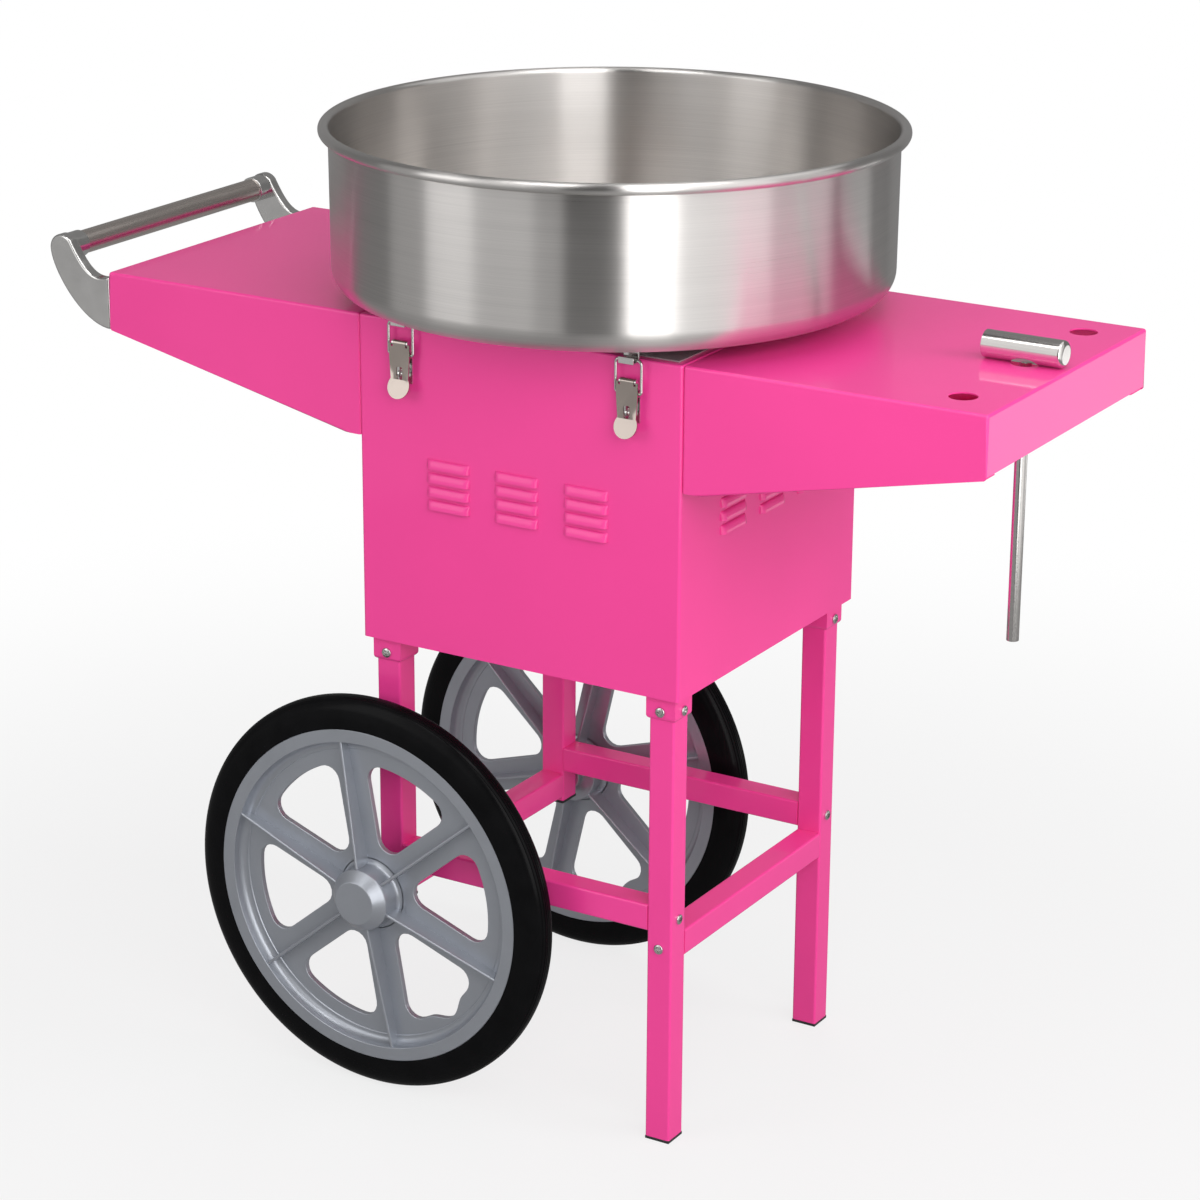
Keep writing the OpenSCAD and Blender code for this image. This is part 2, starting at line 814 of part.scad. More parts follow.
module front_rail() {
    color(pink) translate([0, -leg_y, cross_rail_z]) plugged_rail(cross_rail_l);
}

module rear_rail() {
    color(pink) translate([0, leg_y, cross_rail_z]) plugged_rail(cross_rail_l);
}

module right_rail() {
    color(pink) translate([leg_x, 0, axle_z]) rotate([0, 0, 90]) plugged_rail(side_rail_l);
}

// Open tube that the axle runs through
module left_rail() {
    inner = rail_w - 2 * tube_wall;
    color(pink) translate([-leg_x, 0, axle_z]) difference() {
        cube([rail_w, side_rail_l, rail_w], center = true);
        cube([inner, side_rail_l + 2 * cut, inner], center = true);
    }
}

module plug(flange_h) {
    inner = leg_w - 2 * tube_wall - 2 * slip_fit;
    translate([-leg_w / 2, -leg_w / 2, -flange_h]) cube([leg_w, leg_w, flange_h]);
    translate([-inner / 2, -inner / 2, 0]) cube([inner, inner, plug_l]);
}

// Black plastic plugs: a foot under each long leg and a thin cap under each short one
module leg_plugs() {
    color(black) for (sy = [-1, 1]) {
        translate([leg_x, sy * leg_y, foot_h]) plug(foot_h);
        translate([-leg_x, sy * leg_y, short_leg_z]) difference() {
            plug(foot_h);
            translate([0, 0, axle_z - short_leg_z]) rotate([90, 0, 0])
                cylinder(r = axle_r + slip_fit, h = 2 * leg_w, center = true, $fn = smooth);
        }
    }
}

module frame_screws() {
    short_l = socket_wall + slip_fit + 2 * tube_wall + 2 * slip_fit;
    long_l = leg_w + rail_end_l * screw_grip_share;
    color(chrome) each_leg() {
        socket_screw_places() screw(frame_head_r, frame_head_h, frame_shank_r, short_l);
        cross_screw_place() screw(frame_head_r, frame_head_h, frame_shank_r, long_l);
    }
    color(chrome) for (sy = [-1, 1]) mirror([0, sy < 0 ? 1 : 0, 0]) translate([leg_x, leg_y, 0])
        side_screw_place() screw(frame_head_r, frame_head_h, frame_shank_r, long_l);
}

// Axle and wheels

module axle() {
    color(steel) translate([-leg_x, -axle_l / 2, axle_z]) rod_y(axle_r, axle_l);
}

// Spacers beside the legs, and a washer and a nut in the pocket of each hub
module axle_nuts() {
    color(steel) for (sy = [-1, 1]) mirror([0, sy < 0 ? 1 : 0, 0]) translate([-leg_x, 0, axle_z]) {
        translate([0, leg_y + leg_w / 2, 0]) difference() {
            rod_y(spacer_r, spacer_t);
            translate([0, -cut, 0]) rod_y(axle_r + run_fit, spacer_t + 2 * cut);
        }
        translate([0, nut_y, 0]) difference() {
            union() {
                rod_y(nut_washer_r, nut_washer_t);
                translate([0, nut_washer_t, 0]) rotate([-90, 0, 0]) cylinder(r = nut_r, h = nut_h, $fn = 6);
            }
            translate([0, -cut, 0]) rod_y(axle_r + run_fit, nut_washer_t + nut_h + 2 * cut);
        }
    }
}

// Rounded three-sided window between two spokes, about the X axis
module window_outline() {
    gap = 180 / spoke_count;
    inner_c = (spoke_w / 2 + window_corner_r) / sin(gap);
    corner_c = window_r - window_corner_r;
    lean = gap - asin((spoke_w / 2 + window_corner_r) / corner_c);
    polygon(concat(
        arc_points([inner_c, 0], window_corner_r, 90 + gap, 270 - gap, arc_steps),
        arc_points(corner_c * [cos(lean), -sin(lean)], window_corner_r, -90 - gap, -lean, arc_steps),
        arc_points([0, 0], window_r, -lean, lean, arc_steps),
        arc_points(corner_c * [cos(lean), sin(lean)], window_corner_r, lean, 90 + gap, arc_steps)));
}

// Rim, channel and web, from the tyre's seat in to the hub
module wheel_disc() {
    half = rim_w / 2;
    web = web_t / 2;
    rotate_extrude($fn = smooth) polygon([
        [hub_r - cut, -web], [web_edge_r, -web],
        [rim_floor_in_r, -rim_floor_z], [rim_floor_r, -rim_floor_z],
        [rim_slope_r, -half], [rim_r, -half], [rim_r, half], [rim_slope_r, half],
        [rim_floor_r, rim_floor_z], [rim_floor_in_r, rim_floor_z],
        [web_edge_r, web], [hub_r - cut, web]]);
}

// Barrel of the hub, flared where it meets the web
module hub_barrel() {
    end = hub_l / 2;
    web = web_t / 2;
    flare = web + hub_flare_h;
    rotate_extrude($fn = smooth) polygon([
        [0, -end], [hub_r, -end], [hub_r, -flare], [hub_root_r, -web],
        [hub_root_r, web], [hub_r, flare], [hub_r, end], [0, end]]);
}

// Fin on both faces of a spoke, tall at the hub and level with the rim's lip outside
module fin() {
    hub_top = hub_l / 2 - fin_drop;
    rim_top = rim_w / 2 - fin_drop;
    out = rim_slope_r + fin_bury;
    root = hub_r - fin_bury;
    rotate([90, 0, 0]) linear_extrude(fin_t, center = true)
        polygon([[root, -hub_top], [out, -rim_top], [out, rim_top], [root, hub_top]]);
}

module wheel() {
    step = 360 / spoke_count;
    color(wheel_grey) difference() {
        union() {
            difference() {
                wheel_disc();
                for (i = [0:spoke_count - 1]) rotate([0, 0, (i + 0.5) * step])
                    translate([0, 0, -rim_w]) linear_extrude(2 * rim_w) window_outline();
                rotate([0, 0, (pocket_window + 0.5) * step]) translate([pocket_c, 0, -rim_w])
                    cylinder(r = pocket_r, h = 2 * rim_w, $fn = smooth);
            }
            for (i = [0:spoke_count - 1]) rotate([0, 0, i * step]) fin();
            hub_barrel();
        }
        translate([0, 0, -hub_l]) cylinder(r = axle_r + run_fit, h = 2 * hub_l, $fn = smooth);
        translate([0, 0, hub_l / 2 - nut_pocket_h]) cylinder(r = nut_pocket_r, h = hub_l, $fn = smooth);
    }
}

// Round-crowned tyre section from the rim's seat to the tread
module tyre() {
    outer = [for (i = [0:tyre_points]) let (
            a = 180 * i / tyre_points,
            side = -cos(a),
            across = sign(side) * pow(abs(side), 2 / tyre_power),
            up = pow(sin(a), 2 / tyre_power))
        [rim_r + run_fit + (tyre_r - rim_r - run_fit) * up, across * tyre_w / 2]];
    color(black) rotate_extrude($fn = smooth) polygon(outer);
}

// Chamfered cap over the axle nut
module hub_cap() {
    color(wheel_grey) rotate_extrude($fn = smooth) polygon([
        [cap_r - cap_wall, 0], [cap_r, 0], [cap_r, cap_l * (1 - cap_chamfer_share)],
        [cap_r * cap_face_share, cap_l], [0, cap_l], [0, cap_l - cap_wall],
        [cap_r * cap_face_share - cap_wall, cap_l - cap_wall]]);
}

// Children drawn about a wheel's middle, put on the front or the rear end of the axle
module on_axle(side, turn) {
    translate([-leg_x, side * wheel_y, axle_z]) mirror([0, side > 0 ? 1 : 0, 0])
        rotate([90, 0, 0]) rotate([0, 0, turn]) children();
}

module front_wheel() {
    on_axle(-1, front_wheel_turn) wheel();
}

module rear_wheel() {
    on_axle(1, rear_wheel_turn) wheel();
}

module front_tyre() {
    on_axle(-1, 0) tyre();
}

module rear_tyre() {
    on_axle(1, 0) tyre();
}

module front_hub_cap() {
    on_axle(-1, 0) translate([0, 0, hub_l / 2]) hub_cap();
}

module rear_hub_cap() {
    on_axle(1, 0) translate([0, 0, hub_l / 2]) hub_cap();
}

// Trays and handle

// Side view of a tray, from the cabinet outwards, with the top at y = 0
module tray_side() {
    top_in = [0, 0];
    top_out = [tray_l, 0];
    low_out = [tray_l, -tray_outer_h];
    low_bend = [tray_level_l, -tray_inner_h];
    low_in = [0, -tray_inner_h];
    polygon(concat(
        [top_in, top_out],
        fillet(top_out, low_out, low_bend, tray_outer_corner_r, arc_steps),
        [low_bend, low_in]));
}

// Upside-down pan on the cabinet's right side
module tray() {
    difference() {
        translate([side_x, tray_d / 2, cabinet_top]) rotate([90, 0, 0])
            linear_extrude(tray_d) tray_side();
        translate([side_x + sheet_t, -tray_d / 2 + sheet_t, cabinet_top - tray_inner_h - sheet_t])
            cube([tray_l - 2 * sheet_t, tray_d - 2 * sheet_t, tray_inner_h]);
        tray_screw_places() facing_right() hole_for(sheet_shank_r);
    }
}

// Places of the screws that hold a tray to the cabinet, at the inside of its inner skirt
module tray_screw_places() {
    for (side = [-1, 1], drop = tray_screw_drops)
        translate([side_x + sheet_t, side * tray_screw_y, cabinet_top - drop]) children();
}

module right_tray() {
    color(pink) difference() {
        tray();
        for (hole = tray_holes) translate([tray_hole_x, hole * tray_hole_pitch, cabinet_top])
            cylinder(r = tray_hole_r, h = 2 * tray_outer_h, center = true, $fn = smooth);
    }
}

module left_tray() {
    color(pink) difference() {
        mirror([1, 0, 0]) tray();
        bracket_screw_places() hole_for(sheet_shank_r);
    }
}

// Places of the handle's screws, at the inside of the left tray's end
module bracket_screw_places() {
    for (side = [-1, 1], drop = bracket_screw_drops)
        translate([-tray_end_x + sheet_t, side * (tray_d / 2 - bracket_t / 2),
                cabinet_top - tray_outer_h + bracket_foot_h - drop])
            facing_right() children();
}

module tray_screws() {
    color(chrome) {
        tray_screw_places() facing_right() tray_screw();
        mirror([1, 0, 0]) tray_screw_places() facing_right() tray_screw();
        bracket_screw_places() tray_screw();
    }
}

module tray_screw() {
    screw(sheet_head_r, sheet_head_h, sheet_shank_r, tray_screw_l);
}

// Side view of a swan-neck bracket: distance out from the tray's end, and height above its top
module bracket_side() {
    tip = [grip_reach, grip_rise];
    foot_low = [0, -tray_outer_h];
    foot_high = foot_low + [0, bracket_foot_h];
    tip_side = tip + [bracket_tip_r, 0];
    tip_back = tip + bracket_tip_r * [cos(tip_leave_angle), sin(tip_leave_angle)];
    lower = bezier_points([
        foot_low,
        foot_low + [handle_out * lower_bend_share, 0],
        tip_side - [0, bracket_foot_h * lower_rise_share],
        tip_side], bezier_steps);
    upper = bezier_points([
        foot_high,
        foot_high + [grip_reach * upper_in_share, -bracket_foot_h * upper_dip_share],
        [grip_reach * upper_out_share, grip_rise * upper_lift_share],
        tip_back], bezier_steps);
    round_tip = arc_points(tip, bracket_tip_r, 0, tip_leave_angle, 2 * arc_steps);
    polygon(concat(lower, round_tip, reversed(upper)));
}

module handle_bracket() {
    grip_x = -tray_end_x - grip_reach;
    grip_z = cabinet_top + grip_rise;
    difference() {
        union() {
            translate([-tray_end_x, -tray_d / 2, cabinet_top]) mirror([1, 0, 0])
                translate([0, bracket_t, 0]) rotate([90, 0, 0]) linear_extrude(bracket_t) bracket_side();
            translate([grip_x, -tray_d / 2 + bracket_t / 2, grip_z])
                rod_y(boss_r, bracket_t / 2 + bracket_boss_l);
        }
        translate([grip_x, -tray_d / 2 + bracket_t / 2, grip_z])
            rod_y(grip_r + grip_fit, bracket_t + bracket_boss_l);
        bracket_screw_places() hole_for(sheet_shank_r);
    }
}

module handle_brackets() {
    color(chrome) {
        handle_bracket();
        mirror([0, 1, 0]) handle_bracket();
    }
}

module handle_tube() {
    l = tray_d - bracket_t;
    color(chrome) translate([-tray_end_x - grip_reach, -l / 2, cabinet_top + grip_rise]) difference() {
        rod_y(grip_r, l);
        translate([0, -cut, 0]) rod_y(grip_r - grip_wall, l + 2 * cut);
    }
}

// Latches

// Children at a latch's pivot: side is -1 left or 1 right, end is -1 front or 1 rear.
// Drawn for the front, with outwards at -y and the pivot's axis along X
module latch_places(side, end) {
    mirror([0, end > 0 ? 1 : 0, 0])
        translate([side * latch_x, front_y - pivot_out, latch_z]) children();
}

module rivet_holes() {
    for (drop = rivet_drops) translate([0, pivot_out, drop]) facing_front() hole_for(rivet_shank_r);
}

module latch_base() {
    ear_in = knuckle_w / 2 + ear_gap;
    difference() {
        union() {
            translate([-base_w / 2, pivot_out - latch_t, base_bottom])
                cube([base_w, latch_t, base_top - base_bottom]);
            for (side = [-1, 1]) translate([side * (ear_in + ear_t / 2) - ear_t / 2, 0, 0]) {
                rotate([0, 90, 0]) cylinder(r = ear_r, h = ear_t, $fn = smooth);
                translate([0, 0, base_top - latch_t]) cube([ear_t, pivot_out, -base_top + latch_t]);
            }
            rod_x(pin_r, 2 * (ear_in + ear_t));
            translate([0, -staple_out, staple_z]) rod_x(staple_r, staple_t);
            translate([-staple_t / 2, staple_hole_r - staple_out, staple_z - staple_r])
                cube([staple_t, pivot_out - staple_hole_r + staple_out, 2 * staple_r]);
        }
        translate([0, -staple_out, staple_z]) rod_x(staple_hole_r, lever_w);
        rivet_holes();
    }
}

module latch_bases() {
    color(chrome) for (side = [-1, 1], end = [-1, 1]) latch_places(side, end) latch_base();
}

// Front view of a lever's flat blade, from the pivot down to the bend
module blade_outline() {
    top = lever_w / 2;
    neck = top * neck_share;
    polygon([[-top, 0], [top, 0], [top, -bail_drop - tab_r], [neck, bend_z], [-neck, bend_z],
        [-top, -bail_drop - tab_r]]);
}

module lever() {
    ear_in = knuckle_w / 2;
    slot_h = 2 * (staple_r + staple_room);
    color(chrome) difference() {
        union() {
            rod_x(knuckle_r, knuckle_w);
            translate([0, -lever_back, 0]) rotate([90, 0, 0]) linear_extrude(latch_t) blade_outline();
            translate([0, -lever_back, bend_z]) rotate([-paddle_bend, 0, 0]) rotate([90, 0, 0])
                linear_extrude(latch_t) {
                    translate([0, paddle_z - bend_z]) circle(r = paddle_r, $fn = smooth);
                    translate([-lever_w / 2 * neck_share, paddle_z - bend_z])
                        square([lever_w * neck_share, bend_z - paddle_z]);
                }
            for (side = [-1, 1])
                translate([side * (lever_w / 2 - latch_t / 2) - latch_t / 2, 0, -bail_drop]) {
                    rotate([0, 90, 0]) cylinder(r = tab_r, h = latch_t, $fn = smooth);
                    translate([0, -lever_back, -tab_r]) cube([latch_t, lever_back, 2 * tab_r]);
                }
        }
        rod_x(pin_r + run_fit, 2 * lever_w);
        translate([0, 0, -bail_drop]) rod_x(bail_wire_r + run_fit, 2 * lever_w);
        for (side = [-1, 1]) translate([side * (ear_in + ear_t / 2 + ear_gap), 0, 0])
            cube([ear_t + 2 * ear_gap, 2 * (knuckle_r + cut), 2 * (ear_r + ear_gap)], center = true);
        translate([-staple_t / 2 - ear_gap, -2 * knuckle_r, staple_z - slot_h / 2])
            cube([staple_t + 2 * ear_gap, 2 * knuckle_r, slot_h]);
    }
}

// Quarter bend of the bail's wire in the XZ plane, from the end at +x to the end at +z
module wire_bend(bend_r) {
    rotate([90, 0, 0]) rotate_extrude(angle = 90, $fn = smooth)
        translate([bend_r, 0]) circle(r = bail_wire_r, $fn = smooth);
}

// Half of the wire bail, from its pivot end up to the middle of its bar, with a tight bend beside the lever
module bail_half_wire() {
    rise = bail_bar_z + bail_drop;
    end_in = lever_w / 2 - 2 * latch_t;
    foot = bail_half - bail_foot_r;
    corner = bail_half - bail_bend_r;
    translate([end_in, 0, 0]) rotate([0, 90, 0])
        cylinder(r = bail_wire_r, h = foot - end_in, $fn = smooth);
    translate([foot, 0, bail_foot_r]) mirror([0, 0, 1]) wire_bend(bail_foot_r);
    translate([bail_half, 0, bail_foot_r])
        cylinder(r = bail_wire_r, h = rise - bail_foot_r - bail_bend_r, $fn = smooth);
    translate([corner, 0, rise - bail_bend_r]) wire_bend(bail_bend_r);
    translate([0, 0, rise]) rotate([0, 90, 0]) cylinder(r = bail_wire_r, h = corner, $fn = smooth);
}

module bail() {
    color(chrome) translate([0, 0, -bail_drop]) {
        bail_half_wire();
        mirror([1, 0, 0]) bail_half_wire();
    }
}

module front_left_lever() {
    latch_places(-1, -1) lever();
}

module front_right_lever() {
    latch_places(1, -1) lever();
}

module rear_left_lever() {
    latch_places(-1, 1) lever();
}

module rear_right_lever() {
    latch_places(1, 1) lever();
}

module front_left_bail() {
    latch_places(-1, -1) bail();
}

module front_right_bail() {
    latch_places(1, -1) bail();
}

module rear_left_bail() {
    latch_places(-1, 1) bail();
}

module rear_right_bail() {
    latch_places(1, 1) bail();
}

// Hook under the bowl that a bail's bar pulls down on, about the bar's middle
module bowl_catch() {
    low = bail_wire_r + rest_gap;
    top = bowl_z - cabinet_top;
    side = catch_room + latch_t;
    translate([-catch_w / 2, 0, 0]) {
        translate([0, catch_room, -low - latch_t]) cube([catch_w, latch_t, top + low + latch_t]);
        translate([0, -side, -low - latch_t]) cube([catch_w, 2 * side, latch_t]);
        translate([0, -side, -low - latch_t]) cube([catch_w, latch_t, catch_lip + low + latch_t]);
        translate([0, catch_room, top - latch_t]) cube([catch_w, catch_flange, latch_t]);
    }
}

module bowl_catches() {
    color(chrome) for (side = [-1, 1], end = [-1, 1])
        latch_places(side, end) translate([0, 0, bail_bar_z]) bowl_catch();
}

module case_fasteners() {
    color(chrome) {
        panel_screw_places() screw(sheet_head_r, sheet_head_h, sheet_shank_r, panel_screw_l);
        for (side = [-1, 1], end = [-1, 1], drop = rivet_drops)
            latch_places(side, end) translate([0, pivot_out - latch_t, drop]) facing_front()
                screw(rivet_r, rivet_h, rivet_shank_r, rivet_l);
    }
}

// Bowl and its seat

module bowl() {
    outer_low = [bowl_base_r, 0];
    inner_low = [bowl_base_r - bowl_t, bowl_t];
    outer_top = [bowl_top_r, bowl_bead_z];
    inner_top = [bowl_top_r - bowl_t, bowl_bead_z];
    color(steel) translate([0, 0, bowl_z]) {
        rotate_extrude($fn = smooth) polygon(concat(
            [[bowl_hole_r, 0]],
            fillet([bowl_hole_r, 0], outer_low, outer_top, bowl_corner_r, arc_steps),
            [outer_top, inner_top],
            fillet(inner_top, inner_low, [bowl_hole_r, bowl_t], bowl_corner_r - bowl_t, arc_steps),
            [[bowl_hole_r, bowl_t]]));
        rotate_extrude($fn = smooth)
            translate([bowl_rim_r - bowl_bead_r, bowl_bead_z]) circle(r = bowl_bead_r, $fn = smooth);
    }
}

module bowl_seat() {
    color(steel) translate([0, 0, seat_z]) rotate_extrude($fn = smooth) polygon([
        [seat_in_r, 0], [seat_r, 0], [seat_r, seat_h], [spigot_r, seat_h],
        [spigot_r, seat_h + spigot_h], [seat_in_r, seat_h + spigot_h]]);
}

module bowl_gasket() {
    color(black) translate([0, 0, seat_z + seat_h]) difference() {
        cylinder(r = seat_r, h = gasket_t, $fn = smooth);
        translate([0, 0, -cut]) cylinder(r = gasket_in_r, h = gasket_t + 2 * cut, $fn = smooth);
    }
}

// Spinner

module spinner_shaft() {
    color(steel) translate([0, 0, shaft_z]) cylinder(r = shaft_r, h = shaft_top - shaft_z, $fn = smooth);
}

// Dish with the hub that grips the shaft and the posts that carry the cap
module spinner_head() {
    color(steel) translate([0, 0, head_z]) {
        rotate_extrude($fn = smooth) polygon([
            [shaft_r + shaft_fit, 0], [head_r * head_face_share, 0],
            [head_r, head_plate_t / 2], [head_r, head_plate_t],
            [hub_bush_r, head_plate_t], [hub_bush_r, hub_bush_h], [shaft_r + shaft_fit, hub_bush_h]]);
        for (i = [0:post_count - 1]) rotate([0, 0, i * 360 / post_count])
            translate([post_circle_r, 0, head_plate_t]) cylinder(r = post_r, h = band_h, $fn = smooth);
    }
}

module heater_band() {
    color(copper) translate([0, 0, head_z + head_plate_t]) difference() {
        cylinder(r = band_r, h = band_h, $fn = smooth);
        translate([0, 0, -cut]) cylinder(r = band_r - band_t, h = band_h + 2 * cut, $fn = smooth);
        for (i = [0:band_slots - 1]) rotate([0, 0, i * 360 / band_slots])
            translate([band_r - 2 * band_t, -slot_w / 2, slot_edge])
                cube([3 * band_t, slot_w, band_h - 2 * slot_edge]);
    }
}

module spinner_cap() {
    color(steel) translate([0, 0, cap_z]) rotate_extrude($fn = smooth) polygon([
        [sugar_hole_r, 0], [head_r, 0],
        [head_r, head_plate_t / 2], [head_r * head_face_share, head_plate_t],
        [sugar_hole_r + funnel_drop, head_plate_t], [sugar_hole_r, head_plate_t - funnel_drop]]);
}

module slip_rings() {
    color(copper) translate([0, 0, ring_z]) rotate_extrude($fn = smooth) polygon([
        [shaft_r + shaft_fit, 0], [slip_ring_r, 0], [slip_ring_r, slip_ring_h],
        [ring_sleeve_r, slip_ring_h], [ring_sleeve_r, slip_ring_h + slip_ring_gap],
        [slip_ring_r, slip_ring_h + slip_ring_gap], [slip_ring_r, ring_stack_h],
        [shaft_r + shaft_fit, ring_stack_h]]);
}

// Drive

module each_mount() {
    for (sx = [-1, 1], sy = [-1, 1]) translate([sx * mount_spacing, sy * mount_spacing, 0]) children();
}

module motor_bracket() {
    color(steel) translate([0, 0, bracket_z]) difference() {
        translate([-bracket_plate_w / 2, -bracket_plate_w / 2, 0])
            cube([bracket_plate_w, bracket_plate_w, bracket_plate_t]);
        translate([0, 0, -cut])
            cylinder(r = shaft_hole_r, h = bracket_plate_t + 2 * cut, $fn = smooth);
    }
}

module motor_mounts() {
    color(black) translate([0, 0, bracket_z + bracket_plate_t]) each_mount()
        cylinder(r = mount_r, h = mount_h, $fn = smooth);
}

module motor_housing() {
    color(dark_steel) translate([0, 0, motor_z]) difference() {
        cylinder(r = motor_r, h = motor_h, $fn = smooth);
        translate([0, 0, -cut]) cylinder(r = shaft_r + run_fit, h = motor_h + 2 * cut, $fn = smooth);
    }
}

// Children at the height of each slip ring
module each_ring() {
    for (level = [0, 1])
        translate([0, 0, ring_z + slip_ring_h / 2 + level * (slip_ring_h + slip_ring_gap)]) children();
}

module brush_block() {
    color(black) difference() {
        translate([slip_ring_r + brush_block_in, -brush_block_w / 2, ring_z])
            cube([brush_block_l, brush_block_w, motor_z - ring_z]);
        each_ring() translate([slip_ring_r, -brush_w / 2 - hole_fit, -brush_w / 2 - hole_fit])
            cube([brush_block_in + brush_block_l + cut, brush_w + 2 * hole_fit, brush_w + 2 * hole_fit]);
    }
}

module carbon_brushes() {
    color(dark_steel) each_ring() translate([slip_ring_r + run_fit, -brush_w / 2, -brush_w / 2])
        cube([brush_l, brush_w, brush_w]);
}

// Controls

// Rocker switch's frame, with a pocket and a cross pin for its rocker
module switch_body() {
    pocket_w = rocker_w + 2 * pocket_fit;
    pocket_h = 2 * (rocker_r + pocket_fit);
    difference() {
        union() {
            translate([-switch_w / 2 - bezel_edge, 0, -switch_h / 2 - bezel_edge])
                cube([switch_w + 2 * bezel_edge, bezel_t, switch_h + 2 * bezel_edge]);
            translate([-switch_w / 2, -switch_l, -switch_h / 2]) cube([switch_w, switch_l, switch_h]);
        }
        translate([-pocket_w / 2, -rocker_depth - rocker_r - pocket_fit, -pocket_h / 2])
            cube([pocket_w, 2 * switch_l, pocket_h]);
    }
    translate([0, -rocker_depth, 0]) rod_x(rocker_pin_r, pocket_w + 2 * run_fit);
}

module switch_bodies() {
    color(black) for (slot = [0, 1]) control_place(slot) switch_body();
}

// Rocker with two angled faces, tipped to its off side
module rocker() {
    span = 2 * rocker_r;
    translate([0, -rocker_depth, 0]) rotate([-rocker_tilt, 0, 0]) rotate([0, 90, 0]) rotate([0, 0, 90])
        linear_extrude(rocker_w, center = true) difference() {
            intersection() {
                circle(r = rocker_r, $fn = smooth);
                rotate(rocker_tilt) translate([-span, -span]) square([span + rocker_face, 2 * span]);
                rotate(-rocker_tilt) translate([-span, -span]) square([span + rocker_face, 2 * span]);
            }
            circle(r = rocker_pin_r + run_fit, $fn = smooth);
        }
}

module power_rocker() {
    color("firebrick") control_place(1) rocker();
}

module heat_rocker() {
    color("firebrick") control_place(0) rocker();
}

// Potentiometer behind the panel, with its threaded bush through it
module heat_control() {
    color(dark_steel) control_place(-1) difference() {
        union() {
            translate([0, -sheet_t - pot_l, 0]) rod_y(pot_r, pot_l);
            translate([0, -sheet_t - pot_l / 2, 0]) rod_y(bush_r, sheet_t + pot_l / 2 + bush_l);
        }
        translate([0, -spindle_l, 0]) rod_y(spindle_r + run_fit, spindle_l + bush_l + cut);
    }
}

// Knob with a pointer line and its spindle
module heat_knob() {
    color(black) control_place(-1) {
        difference() {
            translate([0, knob_gap, 0]) rotate([-90, 0, 0]) rotate_extrude($fn = smooth) polygon([
                [0, 0], [knob_r, 0], [knob_r * knob_lip_share, knob_l - pointer_w],
                [knob_r * knob_lip_share - pointer_w, knob_l], [0, knob_l]]);
            rod_y(knob_hollow_r, knob_hollow + knob_gap);
            translate([-pointer_w / 2, knob_gap + knob_l - pointer_w / 2, 0])
                cube([pointer_w, pointer_w, knob_r]);
        }
        translate([0, -spindle_l + run_fit, 0]) rod_y(spindle_r, spindle_l + knob_hollow + pointer_w);
    }
}

// Three-blade inlet for a removable power lead
module power_inlet() {
    w = inlet_w + 2 * inlet_wall;
    h = inlet_h + 2 * inlet_wall;
    color(black) translate([inlet_x, rear_y, cabinet_z + inlet_z]) {
        difference() {
            union() {
                translate([-w / 2 - inlet_ear, 0, -h / 2 - inlet_flange_edge])
                    cube([w + 2 * inlet_ear, inlet_flange_t, h + 2 * inlet_flange_edge]);
                translate([-w / 2, -inlet_depth - inlet_wall, -h / 2])
                    cube([w, inlet_depth + inlet_wall, h]);
            }
            translate([-inlet_w / 2, -inlet_depth, -inlet_h / 2])
                cube([inlet_w, inlet_depth + inlet_flange_t + cut, inlet_h]);
        }
        for (blade = [-1, 0, 1])
            translate([blade * inlet_blade_pitch - inlet_blade[0] / 2, -inlet_depth - inlet_wall / 2,
                    -inlet_blade[2] / 2])
                cube([inlet_blade[0], inlet_blade[1] + inlet_wall / 2, inlet_blade[2]]);
    }
}

// Sugar scoop, hung by its rod in the right tray's middle hole

module scoop_cup() {
    mouth = scoop_x - scoop_l * scoop_rod_share;
    color(steel) translate([mouth, 0, scoop_axis_z]) rotate([0, 90, 0]) rotate_extrude($fn = smooth)
        polygon(concat(
            [[scoop_r - scoop_wall, 0], [scoop_r, 0]],
            fillet([scoop_r, 0], [scoop_r, scoop_l], [0, scoop_l], scoop_end_r, arc_steps),
            [[0, scoop_l], [0, scoop_l - scoop_wall]],
            fillet([0, scoop_l - scoop_wall], [scoop_r - scoop_wall, scoop_l - scoop_wall],
                [scoop_r - scoop_wall, 0], scoop_end_r - scoop_wall, arc_steps)));
}

module scoop_rod() {
    color(steel) difference() {
        translate([scoop_x, 0, scoop_axis_z - scoop_r - scoop_rod_l])
            cylinder(r = scoop_rod_r, h = scoop_rod_l + scoop_r, $fn = smooth);
        translate([scoop_x, 0, scoop_axis_z]) rod_x(scoop_r + scoop_fit, scoop_l);
    }
}

placed() cabinet_wrap();
placed() rear_panel();
placed() deck_plate();
placed() floor_pan();
placed() leg_sockets();
placed() front_left_leg();
placed() rear_left_leg();
placed() front_right_leg();
placed() rear_right_leg();
placed() front_rail();
placed() rear_rail();
placed() left_rail();
placed() right_rail();
placed() leg_plugs();
placed() frame_screws();
placed() axle();
placed() axle_nuts();
placed() left_tray();
placed() right_tray();
placed() tray_screws();
placed() handle_tube();
placed() handle_brackets();
placed() latch_bases();
placed() case_fasteners();
placed() bowl_seat();
placed() bowl_gasket();
placed() motor_bracket();
placed() motor_mounts();
placed() motor_housing();
placed() brush_block();
placed() carbon_brushes();
placed() switch_bodies();
placed() heat_control();
placed() power_inlet();
placed() bowl();
placed() bowl_catches();
placed() spinner_shaft();
placed() spinner_head();
placed() heater_band();
placed() spinner_cap();
placed() slip_rings();
placed() front_wheel();
placed() front_tyre();
placed() front_hub_cap();
placed() rear_wheel();
placed() rear_tyre();
placed() rear_hub_cap();
placed() front_left_lever();
placed() front_right_lever();
placed() rear_left_lever();
placed() rear_right_lever();
placed() front_left_bail();
